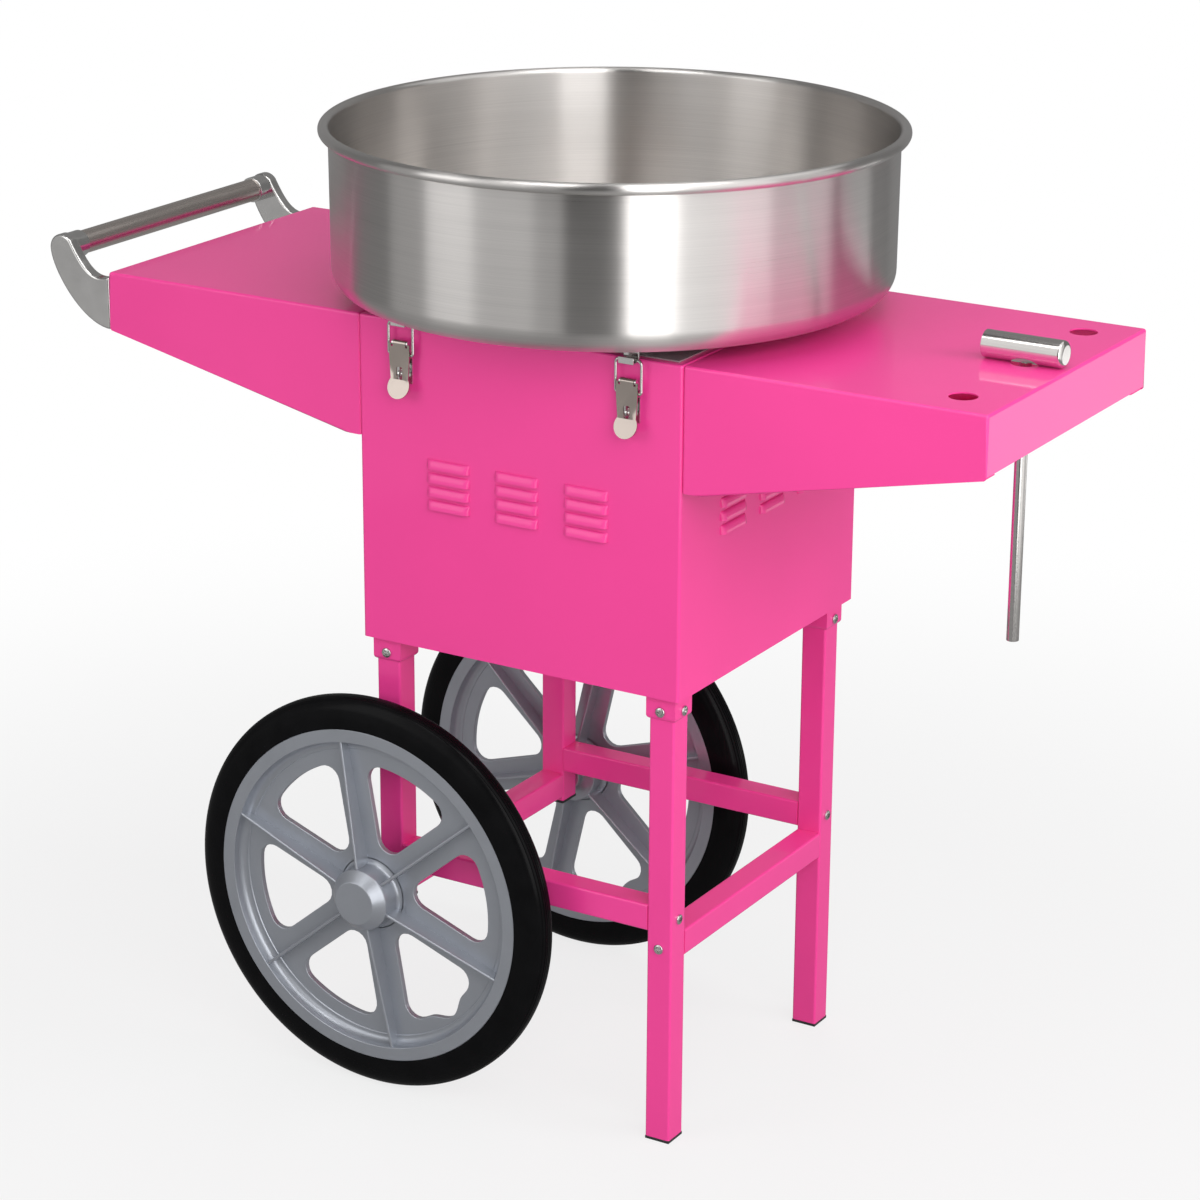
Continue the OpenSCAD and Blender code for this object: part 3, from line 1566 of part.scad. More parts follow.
placed() front_right_bail();
placed() rear_left_bail();
placed() rear_right_bail();
placed() scoop_cup();
placed() scoop_rod();
placed() power_rocker();
placed() heat_rocker();
placed() heat_knob();
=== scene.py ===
"""Dresses the cotton candy cart: sheet metal, wheels, fittings, their finishes and a white studio."""
import json
import math

import bmesh
import bpy
from bpy.props import FloatProperty, FloatVectorProperty, IntProperty, PointerProperty
from mathutils import Matrix, Vector

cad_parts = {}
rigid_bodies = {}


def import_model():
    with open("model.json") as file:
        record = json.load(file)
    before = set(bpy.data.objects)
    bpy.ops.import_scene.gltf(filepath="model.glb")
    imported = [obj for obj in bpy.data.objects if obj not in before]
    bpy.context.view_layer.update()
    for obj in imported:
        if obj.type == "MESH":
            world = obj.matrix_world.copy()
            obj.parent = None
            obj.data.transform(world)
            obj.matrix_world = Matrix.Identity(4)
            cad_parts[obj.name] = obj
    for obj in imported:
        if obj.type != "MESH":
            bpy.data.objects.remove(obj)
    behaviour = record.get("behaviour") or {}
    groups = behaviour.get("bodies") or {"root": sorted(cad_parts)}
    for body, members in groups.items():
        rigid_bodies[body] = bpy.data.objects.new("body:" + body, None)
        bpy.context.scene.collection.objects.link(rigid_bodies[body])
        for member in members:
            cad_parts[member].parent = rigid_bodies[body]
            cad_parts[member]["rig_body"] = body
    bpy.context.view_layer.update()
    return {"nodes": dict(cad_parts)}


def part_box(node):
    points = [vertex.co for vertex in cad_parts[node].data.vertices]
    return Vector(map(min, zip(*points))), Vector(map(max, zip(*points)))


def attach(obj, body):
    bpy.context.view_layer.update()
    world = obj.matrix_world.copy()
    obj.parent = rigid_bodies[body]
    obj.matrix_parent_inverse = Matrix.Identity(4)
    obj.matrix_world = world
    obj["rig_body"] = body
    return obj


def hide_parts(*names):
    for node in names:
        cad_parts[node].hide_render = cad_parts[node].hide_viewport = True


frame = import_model()

bl_info = {
    "name": "Cotton candy cart",
    "version": (1, 0, 0),
    "blender": (4, 5, 0),
    "location": "3D View > Sidebar > Cart",
    "description": "Models and finishes the pieces of a cotton candy cart around its packed frame",
    "category": "Object",
}

# How finely curves are drawn
TURN_STEPS = 128
FINE_TURN_STEPS = 192
HOLE_STEPS = 48
SCREW_STEPS = 32
RIB_STEPS = 16
CORNER_STEPS = 6
CURVE_STEPS = 20
EDGE_SEGMENTS = 2
SOFT_SEGMENTS = 4
FOLD_SEGMENTS = 5
# Which edges count as sharp and which as flat, and how near doubles lie
SHARP_ANGLE = math.radians(35)
FLAT_ANGLE = math.radians(1)
MERGE = 1e-6

# Which way local X, Y and Z point on the walls of the cart, for shapes drawn flat and facing up
FACING_FRONT = Matrix(((1, 0, 0), (0, 0, -1), (0, 1, 0))).to_4x4()
FACING_REAR = Matrix(((-1, 0, 0), (0, 0, 1), (0, 1, 0))).to_4x4()
FACING_RIGHT = Matrix(((0, 0, 1), (1, 0, 0), (0, 1, 0))).to_4x4()
FACING_LEFT = Matrix(((0, 0, -1), (-1, 0, 0), (0, 1, 0))).to_4x4()

CORNERS = ("front_left", "front_right", "rear_left", "rear_right")


def length(name, description, default):
    """A length in metres that a user may change."""
    return FloatProperty(name=name, description=description, default=default, min=0, unit="LENGTH",
                         precision=5)


def colour(name, description, default):
    """A linear colour that a user may change."""
    return FloatVectorProperty(name=name, description=description, default=default, min=0, max=1,
                               size=3, subtype="COLOR")


def watts(name, description, default):
    """The power of a light in watts, which a user may change."""
    return FloatProperty(name=name, description=description, default=default, min=0, unit="POWER")


class CartSizes(bpy.types.PropertyGroup):
    """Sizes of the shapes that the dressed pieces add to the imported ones."""

    edge: length("Edge", "Rounding on the edges of small fittings", 0.0003)
    sheet_t: length("Sheet", "Thickness of the pink sheet steel", 0.0012)
    sheet_edge: length("Sheet edge", "Rounding on a cut sheet edge", 0.0003)
    fold_r: length("Fold", "Radius of the cabinet's upright folds", 0.003)
    top_fold_r: length("Top fold", "Radius of the fold along the cabinet's top", 0.002)
    flange_w: length("Flange", "Width of the flange along the cabinet's top", 0.016)
    louvre_l: length("Louvre length", "Length of one louvre", 0.044)
    louvre_h: length("Louvre height", "Height of one louvre", 0.0085)
    louvre_out: length("Louvre depth", "How far a louvre's lip stands out", 0.004)
    louvre_end: length("Louvre end", "Length of the domed end of a louvre", 0.006)
    louvre_pitch: length("Louvre pitch", "Rise from one louvre to the next", 0.0125)
    louvre_column: length("Louvre columns' pitch", "Distance between columns of louvres", 0.071)
    louvre_low: length("Lowest louvre", "Height of the lowest lip above the cabinet's bottom", 0.134)
    louvre_rows: IntProperty(name="Louvre rows", description="Louvres in one column", default=4, min=1)
    louvre_columns: IntProperty(name="Louvre columns", description="Columns on one wall", default=3, min=1)
    tray_edge: length("Tray edge", "Radius of the folds of a tray", 0.0026)
    tray_outer_h: length("Tray end height", "Height of a tray's outer end", 0.055)
    tray_outer_r: length("Tray outer corner", "Radius of a tray's outer lower corner", 0.003)
    tray_level: length("Tray level edge", "Level stretch of a tray's lower edge at the cabinet", 0.02)
    hem_w: length("Tray hem", "Width of the hem folded in along a tray's lower edge", 0.022)
    cone_hole_r: length("Cone hole", "Radius of the holes in the right tray", 0.0125)
    cone_hole_in: length("Cone hole place", "Distance of the holes from the tray's end", 0.042)
    cone_hole_pitch: length("Cone hole pitch", "Distance between the holes", 0.121)
    tube_edge: length("Tube edge", "Radius of a square tube's edges", 0.0022)
    bracket_edge: length("Bracket edge", "Rounding of the handle brackets", 0.0022)
    bracket_tip_r: length("Bracket tip", "Radius of the brackets' round ends", 0.0135)
    bracket_t: length("Bracket thickness", "Thickness of a handle bracket", 0.012)
    boss_r: length("Boss", "Radius of the collar that holds the handle tube", 0.0125)
    bowl_base_r: length("Bowl base", "Radius of the bowl at its bottom", 0.252)
    bowl_top_r: length("Bowl top", "Radius of the bowl's wall under its rim", 0.253)
    bowl_hole_r: length("Bowl hole", "Radius of the hole in the bowl's bottom", 0.0846)
    bowl_bead_r: length("Bowl bead", "Radius of the rolled rim", 0.005)
    bowl_corner_r: length("Bowl corner", "Radius between the bowl's wall and bottom", 0.022)
    bowl_t: length("Bowl sheet", "Thickness of the bowl", 0.001)
    tyre_power: FloatProperty(name="Tyre squareness", description="Power of the tyre's section", default=2.6,
                              min=1)
    groove_w: length("Groove width", "Width of a groove round the tread", 0.0009)
    groove_d: length("Groove depth", "Depth of a groove round the tread", 0.0007)
    groove_pitch: length("Groove pitch", "Distance between grooves", 0.0026)
    groove_count: IntProperty(name="Grooves", description="Grooves round the tread", default=7)
    rim_r: length("Rim", "Radius of the rim under the tyre", 0.1625)
    rim_face_r: length("Rim face", "Inner radius of the rim's flat face", 0.1495)
    cove_r: length("Cove", "Radius where the rim's cove ends on its floor", 0.1425)
    cove_h: length("Cove height", "Height of the cove's floor above the middle", 0.0038)
    web_r: length("Web", "Outer radius of the web that carries the spokes", 0.141)
    pocket_w: length("Valve pocket", "Width of the valve's pocket in one window", 0.048)
    pocket_d: length("Valve pocket depth", "How far the pocket reaches out of its window", 0.009)
    web_t: length("Web thickness", "Thickness of the web", 0.006)
    window_r: length("Window", "Outer radius of the windows between spokes", 0.127)
    window_corner_r: length("Window corner", "Radius of the windows' corners", 0.014)
    spoke_w: length("Spoke", "Width of a spoke", 0.033)
    spoke_count: IntProperty(name="Spokes", description="Spokes in a wheel", default=6, min=3)
    fin_t: length("Fin", "Thickness of the rib along a spoke", 0.003)
    fin_drop: length("Fin drop", "How far a rib stays below the hub's end and the rim's face", 0.001)
    hub_r: length("Hub", "Radius of the wheel's hub", 0.029)
    hub_flare: length("Hub flare", "Radius of the hollow round the hub's root", 0.005)
    nut_pocket_r: length("Nut pocket", "Radius of the pocket for the axle nut", 0.018)
    nut_pocket_d: length("Nut pocket depth", "Depth of the pocket for the axle nut", 0.008)
    moulded_edge: length("Moulded edge", "Rounding of moulded edges on the wheels", 0.0009)
    slot_w: length("Latch slot", "Width of the slot in a latch lever", 0.006)
    slot_h: length("Latch slot height", "Height of the slot in a latch lever", 0.0115)
    knob_rib_r: length("Knob rib", "Radius of the ribs round the knob", 0.0009)
    knob_ribs: IntProperty(name="Knob ribs", description="Ribs round the knob", default=28)


class CartColours(bpy.types.PropertyGroup):
    """Colours of the finishes."""

    pink: colour("Pink", "Powder coat of the sheet steel and tubes", (0.86, 0.053, 0.303))
    stainless: colour("Stainless", "Brushed bowl and scoop", (0.70, 0.675, 0.655))
    chrome: colour("Chrome", "Bright fittings", (0.70, 0.69, 0.675))
    tube: colour("Tube", "Push handle", (0.62, 0.56, 0.52))
    nickel: colour("Nickel", "Latch levers", (0.45, 0.39, 0.35))
    deck: colour("Deck", "Dark plate under the bowl", (0.55, 0.44, 0.48))
    wheel: colour("Wheel", "Silver moulded wheels", (0.4, 0.42, 0.46))
    tyre: colour("Tyre", "Solid black tyres", (0.003, 0.003, 0.0033))
    plastic: colour("Black plastic", "Plugs, knob and switch housings", (0.018, 0.018, 0.019))
    rubber: colour("Rubber", "Gasket and motor mounts", (0.022, 0.021, 0.02))
    zinc: colour("Zinc", "Plated axle and nuts", (0.52, 0.53, 0.55))
    aluminium: colour("Aluminium", "Cast and turned spinner parts", (0.58, 0.58, 0.575))
    heater: colour("Heater", "Heater band", (0.40, 0.25, 0.15))
    brass: colour("Brass", "Slip rings", (0.66, 0.45, 0.18))
    motor: colour("Motor", "Enamel of the motor", (0.035, 0.04, 0.045))
    rocker: colour("Rocker", "Switch rockers", (0.55, 0.012, 0.012))


class CartStudio(bpy.types.PropertyGroup):
    """Camera and light of the white studio."""

    eye: FloatVectorProperty(name="Eye", description="Where the camera stands", subtype="TRANSLATION",
                             default=(1.6101, -2.6455, 1.5177))
    target: FloatVectorProperty(name="Target", description="What the camera looks at", subtype="TRANSLATION",
                                default=(0.0233, -0.0026, 0.4483))
    roll: FloatProperty(name="Roll", description="Turn of the picture", subtype="ANGLE", default=0.006)
    lens: FloatProperty(name="Lens", description="Focal length in millimetres", default=105.84)
    key: watts("Key", "Power of the light beside the camera", 42)
    right: watts("Right", "Power of the light from the right", 28)
    fill: watts("Fill", "Power of the lights from the left and behind", 18)
    top: watts("Top", "Power of the light overhead", 20)
    ambient: FloatProperty(name="Ambient", description="Light from all round", default=0.28)
    floor_white: FloatProperty(name="Floor white", description="How white the floor shows", subtype="FACTOR",
                               default=0.78)
    floor_mirrored: FloatProperty(name="Floor mirrored", description="How light the floor is in reflections",
                                  default=0.3)


# Node trees


class Value:
    """One output of a node; a sum or product of Values adds Math nodes to their tree."""

    def __init__(self, graph, output):
        self.graph = graph
        self.output = output

    def _math(self, operation, first, second):
        return self.graph.node("ShaderNodeMath", {"operation": operation}, {0: first, 1: second})

    def __add__(self, other):
        return self._math("ADD", self, other)

    def __radd__(self, other):
        return self._math("ADD", other, self)

    def __sub__(self, other):
        return self._math("SUBTRACT", self, other)

    def __rsub__(self, other):
        return self._math("SUBTRACT", other, self)

    def __mul__(self, other):
        return self._math("MULTIPLY", self, other)

    def __rmul__(self, other):
        return self._math("MULTIPLY", other, self)

    def __truediv__(self, other):
        return self._math("DIVIDE", self, other)

    def __rtruediv__(self, other):
        return self._math("DIVIDE", other, self)


class Graph:
    """A node tree that grows by one method."""

    def __init__(self, tree):
        self.tree = tree

    def node(self, kind, settings=None, inputs=None, output=0):
        """Adds a node, sets it up, feeds its sockets with numbers or Values and returns one output."""
        made = self.tree.nodes.new(kind)
        for name, value in (settings or {}).items():
            setattr(made, name, value)
        for key, value in (inputs or {}).items():
            self.feed(made.inputs[key], value)
        return Value(self, made.outputs[output])

    def feed(self, socket, value):
        """Links a Value to a socket, or sets the socket's own number or colour."""
        if isinstance(value, Value):
            self.tree.links.new(value.output, socket)
        else:
            socket.default_value = value


class Finish(Graph):
    """A material: constants on its Principled shader, and patterns that vary over the surface."""

    def __init__(self, name, constants):
        self.material = bpy.data.materials.new(name)
        self.material.use_nodes = True
        super().__init__(self.material.node_tree)
        self.shader = self.tree.nodes["Principled BSDF"]
        for socket, value in constants.items():
            self.vary(socket, value)

    def vary(self, socket, value):
        """Feeds one of the shader's sockets."""
        self.feed(self.shader.inputs[socket], value)

    def place(self, stretch=(1, 1, 1), centre=(0, 0, 0)):
        """Object coordinates from a centre, stretched along each axis."""
        here = self.node("ShaderNodeTexCoord", output="Object")
        moved = self.node("ShaderNodeVectorMath", {"operation": "SUBTRACT"}, {0: here, 1: centre})
        return self.node("ShaderNodeVectorMath", {"operation": "MULTIPLY"}, {0: moved, 1: stretch})

    def noise(self, scale, detail, stretch=(1, 1, 1), centre=(0, 0, 0)):
        """Noise from 0 to 1, with so many waves to the metre."""
        inputs = {"Vector": self.place(stretch, centre), "Scale": scale, "Detail": detail}
        return self.node("ShaderNodeTexNoise", None, inputs, "Fac")

    def tint(self, factor, low, high):
        """A colour between two others."""
        inputs = {0: factor, 6: (*low, 1), 7: (*high, 1)}
        return self.node("ShaderNodeMix", {"data_type": "RGBA"}, inputs, 2)

    def bump(self, height, distance, strength):
        """Raises the surface by a pattern."""
        inputs = {"Strength": strength, "Distance": distance, "Height": height}
        self.vary("Normal", self.node("ShaderNodeBump", None, inputs, "Normal"))


def shade(rgb, share):
    """A colour made lighter or darker."""
    return tuple(min(1, channel * share) for channel in rgb)


# Finishes


def pink_paint(hues):
    """Glossy powder coat with a faint orange peel."""
    made = Finish("pink_paint", {"Coat Weight": 0.65, "Coat Roughness": 0.07, "Specular IOR Level": 0.2})
    cloud = made.noise(6, detail=3)
    peel = made.noise(700, detail=2)
    made.vary("Base Color", made.tint(cloud, shade(hues.pink, 0.95), shade(hues.pink, 1.05)))
    made.vary("Roughness", 0.34 + 0.08 * peel)
    made.bump(peel, distance=0.00004, strength=0.25)
    return made.material


def brushed(name, rgb, roughness, anisotropic, centre):
    """Metal brushed round an upright axis."""
    made = Finish(name, {"Metallic": 1.0, "Anisotropic": anisotropic, "Anisotropic Rotation": 0.25})
    lines = made.noise(1, detail=2, stretch=(5, 5, 1500), centre=centre)
    smears = made.noise(1, detail=2, stretch=(3, 3, 130), centre=centre)
    grain = 0.65 * lines + 0.35 * smears
    made.vary("Base Color", made.tint(grain, shade(rgb, 0.84), shade(rgb, 1.16)))
    made.vary("Roughness", roughness - 0.04 + 0.08 * grain)
    made.bump(lines, distance=0.00002, strength=0.4)
    return made.material


def stainless(hues):
    """Spun bowl, brushed in rings."""
    axis = middle("bowl")
    return brushed("stainless", hues.stainless, 0.29, 0.98, (axis.x, axis.y, 0))


def plated(name, rgb):
    """Bright plated steel with faint polishing haze."""
    made = Finish(name, {"Metallic": 1.0})
    haze = made.noise(60, detail=3)
    made.vary("Base Color", made.tint(haze, shade(rgb, 0.9), shade(rgb, 1.1)))
    made.vary("Roughness", 0.12 + 0.1 * haze)
    made.bump(made.noise(500, detail=2), distance=0.00002, strength=0.2)
    return made.material


def chrome(hues):
    """Bright fittings."""
    return plated("chrome", hues.chrome)


def nickel(hues):
    """Warmer plating of the latch levers."""
    return plated("nickel", hues.nickel)


def brushed_tube(hues):
    """Push handle, polished along its length."""
    made = Finish("brushed_tube", {"Metallic": 1.0})
    streaks = made.noise(1, detail=3, stretch=(420, 9, 420))
    clouds = made.noise(1, detail=2, stretch=(90, 5, 90))
    grain = 0.5 * streaks + 0.5 * clouds
    made.vary("Base Color", made.tint(grain, shade(hues.tube, 0.72), shade(hues.tube, 1.3)))
    made.vary("Roughness", 0.16 + 0.22 * streaks)
    made.bump(streaks, distance=0.00003, strength=0.5)
    return made.material


def polished(hues):
    """Scoop, polished along its length."""
    made = Finish("polished", {"Metallic": 1.0})
    streaks = made.noise(1, detail=2, stretch=(12, 700, 700))
    made.vary("Base Color", made.tint(streaks, shade(hues.stainless, 0.9), shade(hues.stainless, 1.1)))
    made.vary("Roughness", 0.1 + 0.1 * streaks)
    made.bump(streaks, distance=0.00002, strength=0.3)
    return made.material


def deck_steel(hues):
    """Dark glossy plate."""
    made = Finish("deck_steel", {"Metallic": 0.6, "Coat Weight": 0.4, "Coat Roughness": 0.08})
    cloud = made.noise(14, detail=3)
    made.vary("Base Color", made.tint(cloud, shade(hues.deck, 0.8), shade(hues.deck, 1.25)))
    made.vary("Roughness", 0.2 + 0.12 * cloud)
    made.bump(made.noise(300, detail=2), distance=0.00003, strength=0.3)
    return made.material


def wheel_grey(hues):
    """Satin silver moulding with fine flake."""
    made = Finish("wheel_grey", {"Metallic": 0.7})
    flake = made.noise(2600, detail=1)
    cloud = made.noise(30, detail=2)
    shine = 0.5 * flake + 0.5 * cloud
    made.vary("Base Color", made.tint(shine, shade(hues.wheel, 0.86), shade(hues.wheel, 1.14)))
    made.vary("Roughness", 0.28 + 0.12 * flake)
    made.bump(flake, distance=0.00002, strength=0.25)
    return made.material


def tyre_black(hues):
    """Smooth solid rubber with a faint bloom."""
    made = Finish("tyre_black", {"Specular IOR Level": 0.07})
    bloom = made.noise(40, detail=3)
    made.vary("Base Color", made.tint(bloom, shade(hues.tyre, 0.7), shade(hues.tyre, 1.9)))
    made.vary("Roughness", 0.16 + 0.12 * bloom)
    made.bump(made.noise(900, detail=2), distance=0.00004, strength=0.3)
    return made.material


def moulded(name, rgb, roughness):
    """Moulded plastic with a fine grain."""
    made = Finish(name, {})
    grain = made.noise(1400, detail=2)
    cloud = made.noise(25, detail=2)
    made.vary("Base Color", made.tint(cloud, shade(rgb, 0.85), shade(rgb, 1.25)))
    made.vary("Roughness", roughness - 0.05 + 0.1 * grain)
    made.bump(grain, distance=0.00003, strength=0.35)
    return made.material


def black_plastic(hues):
    """Black moulded fittings."""
    return moulded("black_plastic", hues.plastic, 0.42)


def rubber(hues):
    """Soft black seals."""
    return moulded("rubber", hues.rubber, 0.7)


def rocker_red(hues):
    """Red switch rockers."""
    return moulded("rocker_red", hues.rocker, 0.24)


def motor_paint(hues):
    """Dark enamel on the motor."""
    return moulded("motor_paint", hues.motor, 0.36)


def worn_metal(name, rgb, roughness, waves):
    """Plain metal with cloudy tarnish."""
    made = Finish(name, {"Metallic": 1.0})
    cloud = made.noise(waves, detail=4)
    made.vary("Base Color", made.tint(cloud, shade(rgb, 0.75), shade(rgb, 1.2)))
    made.vary("Roughness", roughness - 0.08 + 0.16 * cloud)
    made.bump(made.noise(800, detail=2), distance=0.00003, strength=0.3)
    return made.material


def zinc_steel(hues):
    """Plated axle, nuts and brackets."""
    return worn_metal("zinc_steel", hues.zinc, 0.36, 70)


def heater_alloy(hues):
    """Heat-browned band."""
    return worn_metal("heater_alloy", hues.heater, 0.38, 90)


def brass(hues):
    """Slip rings, worn bright."""
    return worn_metal("brass", hues.brass, 0.26, 120)


def cast_aluminium(hues):
    """Spinner parts, turned in fine rings about their axis."""
    axis = middle("spinner_head")
    made = Finish("cast_aluminium", {"Metallic": 1.0})
    flat = made.place((1, 1, 0), (axis.x, axis.y, 0))
    reach = made.node("ShaderNodeVectorMath", {"operation": "LENGTH"}, {0: flat}, "Value")
    rings = made.node("ShaderNodeMath", {"operation": "SINE"}, {0: reach * 6500})
    cloud = made.noise(60, detail=3)
    grain = 0.25 + 0.25 * rings + 0.5 * cloud
    made.vary("Base Color", made.tint(grain, shade(hues.aluminium, 0.82), shade(hues.aluminium, 1.12)))
    made.vary("Roughness", 0.26 + 0.16 * grain)
    made.bump(rings, distance=0.00001, strength=0.3)
    return made.material


FINISHES = {maker.__name__: maker for maker in (
    pink_paint, stainless, chrome, nickel, brushed_tube, polished, deck_steel, wheel_grey, tyre_black,
    black_plastic, rubber, rocker_red, motor_paint, zinc_steel, heater_alloy, brass, cast_aluminium)}


def finish(name):
    """The material of that name, made when it is first asked for."""
    found = bpy.data.materials.get(name)
    if found is None or "cart" not in found:
        found = FINISHES[name](bpy.context.scene.cart_colours)
        found.name = name
        found["cart"] = True
    return found


# Shapes


def middle(node):
    """Middle of a node's box."""
    low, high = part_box(node)
    return (low + high) / 2


def arc(centre, radius, start, end, steps):
    """Points along an arc, from one angle to another."""
    turns = [start + (end - start) * i / steps for i in range(steps + 1)]
    return [(centre[0] + radius * math.cos(a), centre[1] + radius * math.sin(a)) for a in turns]


def bezier(start, lead, trail, end, steps):
    """Points along a cubic curve."""
    points = []
    for i in range(steps + 1):
        t = i / steps
        s = 1 - t
        shares = (s ** 3, 3 * s * s * t, 3 * s * t * t, t ** 3)
        pulls = list(zip(shares, (start, lead, trail, end)))
        points.append(tuple(sum(share * point[axis] for share, point in pulls) for axis in (0, 1)))
    return points


def fillet(before, corner, after, radius, steps=CORNER_STEPS):
    """Points of a rounded corner between two straight stretches."""
    if radius <= 0:
        return [tuple(corner)]
    corner = Vector(corner)
    u = (Vector(before) - corner).normalized()
    v = (Vector(after) - corner).normalized()
    half = u.angle(v) / 2
    centre = corner + (u + v).normalized() * radius / math.sin(half)
    first = corner + u * radius / math.tan(half) - centre
    last = corner + v * radius / math.tan(half) - centre
    start = math.atan2(first.y, first.x)
    turn = math.atan2(first.x * last.y - first.y * last.x, first.dot(last))
    return arc(centre, radius, start, start + turn, steps)


def rounded(corners, steps=CORNER_STEPS):
    """A closed outline whose corners are given as x, y and the radius there."""
    points = []
    for i, (x, y, radius) in enumerate(corners):
        before = corners[i - 1][:2]
        after = corners[(i + 1) % len(corners)][:2]
        points += fillet(before, (x, y), after, radius, steps)
    return points


def rounded_box(w, h, radius):
    """A rectangle round the origin with rounded corners, given by half its width and height."""
    return rounded([(-w, -h, radius), (w, -h, radius), (w, h, radius), (-w, h, radius)])


def outward(bm):
    """Merges doubles and turns every face of a closed shape outwards."""
    bmesh.ops.remove_doubles(bm, verts=bm.verts[:], dist=MERGE)
    bmesh.ops.recalc_face_normals(bm, faces=bm.faces[:])
    return bm


def lathe(outline, steps=TURN_STEPS):
    """Turns a closed outline of radius and height about Z."""
    bm = bmesh.new()
    rings = []
    for i in range(steps):
        turn = math.tau * i / steps
        rings.append([bm.verts.new((r * math.cos(turn), r * math.sin(turn), h)) for r, h in outline])
    count = len(outline)
    for i, ring in enumerate(rings):
        beside = rings[(i + 1) % steps]
        for j in range(count):
            k = (j + 1) % count
            bm.faces.new((ring[j], ring[k], beside[k], beside[j]))
    return outward(bm)


def prism(outline, low, high):
    """A solid with one outline from one height to another."""
    bm = bmesh.new()
    floor = [bm.verts.new((x, y, low)) for x, y in outline]
    top = [bm.verts.new((x, y, high)) for x, y in outline]
    bm.faces.new(floor)
    bm.faces.new(top)
    for i in range(len(outline)):
        j = (i + 1) % len(outline)
        bm.faces.new((floor[i], floor[j], top[j], top[i]))
    return outward(bm)


def plate(loops, low, high):
    """A flat plate inside the first outline, with the other outlines cut out of it."""
    bm = bmesh.new()
    edges = []
    for outline in loops:
        ring = [bm.verts.new((x, y, low)) for x, y in outline]
        edges += [bm.edges.new((ring[i - 1], ring[i])) for i in range(len(ring))]
    bmesh.ops.triangle_fill(bm, use_beauty=True, edges=edges, normal=(0, 0, 1))
    grown = bmesh.ops.extrude_face_region(bm, geom=bm.faces[:], use_keep_orig=True)["geom"]
    raised = [item for item in grown if isinstance(item, bmesh.types.BMVert)]
    bmesh.ops.translate(bm, verts=raised, vec=(0, 0, high - low))
    return outward(bm)


def round_edges(bm, width, segments=3):
    """Rounds the sharp edges of a closed shape."""
    edges = [e for e in bm.edges if len(e.link_faces) == 2 and e.calc_face_angle(0) > SHARP_ANGLE]
    bmesh.ops.bevel(bm, geom=edges, offset=width, segments=segments, profile=0.5, affect="EDGES",
                    clamp_overlap=True)
    return bm


def moved(bm, *steps):
    """Moves a shape by matrices, the last one first."""
    for step in reversed(steps):
        bmesh.ops.transform(bm, matrix=step, verts=bm.verts[:])
    return bm


def shift(place):
    """A plain move."""
    return Matrix.Translation(Vector(place))


def joined(*parts):
    """Several shapes in one mesh."""
    whole = bmesh.new()
    for part in parts:
        loose = bpy.data.meshes.new("loose")
        part.to_mesh(loose)
        part.free()
        whole.from_mesh(loose)
        bpy.data.meshes.remove(loose)
    return whole


def copy_of(node):
    """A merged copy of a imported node, with its flat faces made whole."""
    bm = bmesh.new()
    bm.from_mesh(frame["nodes"][node].data)
    bmesh.ops.remove_doubles(bm, verts=bm.verts[:], dist=MERGE)
    bmesh.ops.dissolve_limit(bm, angle_limit=FLAT_ANGLE, verts=bm.verts[:], edges=bm.edges[:])
    return bm


def link(name, bm):
    """Makes an object of a shape."""
    mesh = bpy.data.meshes.new(name)
    bm.to_mesh(mesh)
    bm.free()
    mesh.shade_smooth()
    mesh.set_sharp_from_angle(angle=SHARP_ANGLE)
    made = bpy.data.objects.new(name, mesh)
    bpy.context.scene.collection.objects.link(made)
    return made


def evaluated(made):
    """The shape that an object's modifiers make; the object itself goes."""
    bpy.context.view_layer.update()
    result = bpy.data.meshes.new_from_object(made.evaluated_get(bpy.context.evaluated_depsgraph_get()))
    made.modifiers.clear()
    bm = bmesh.new()
    bm.from_mesh(result)
    bpy.data.objects.remove(made)
    bpy.data.meshes.remove(result)
    return bm


def thickened(bm, thickness):
    """Gives a sheet its thickness, inwards."""
    sheet = link("sheet", bm)
    wall = sheet.modifiers.new("wall", "SOLIDIFY")
    wall.thickness = thickness
    wall.offset = -1
    wall.use_even_offset = True
    return evaluated(sheet)


def carved(bm, cutter):
    """A shape with another one cut out of it."""
    whole, tool = link("whole", bm), link("tool", cutter)
    cut = whole.modifiers.new("cut", "BOOLEAN")
    cut.operation = "DIFFERENCE"
    cut.object = tool
    cut.solver = "EXACT"
    left = evaluated(whole)
    bpy.data.objects.remove(tool)
    return left


def piece(name, bm, look, node, edge=0.0):
    """Makes a finished piece that stands for a CAD node and moves with its body."""
    made = link(name, bm)
    made.data.materials.clear()
    made.data.materials.append(finish(look))
    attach(made, frame["nodes"][node]["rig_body"])
    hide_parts(node)
    if edge:
        bevel = made.modifiers.new("rounded_edges", "BEVEL")
        bevel.width = edge
        bevel.segments = EDGE_SEGMENTS
        bevel.limit_method = "ANGLE"
        bevel.angle_limit = SHARP_ANGLE
    flat = made.modifiers.new("flat_faces", "WEIGHTED_NORMAL")
    flat.keep_sharp = True


def dress(node, look, width):
    """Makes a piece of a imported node's copy, with rounded edges and its finish."""
    piece(node + "_edged", copy_of(node), look, node, edge=width)


# Geometry Nodes


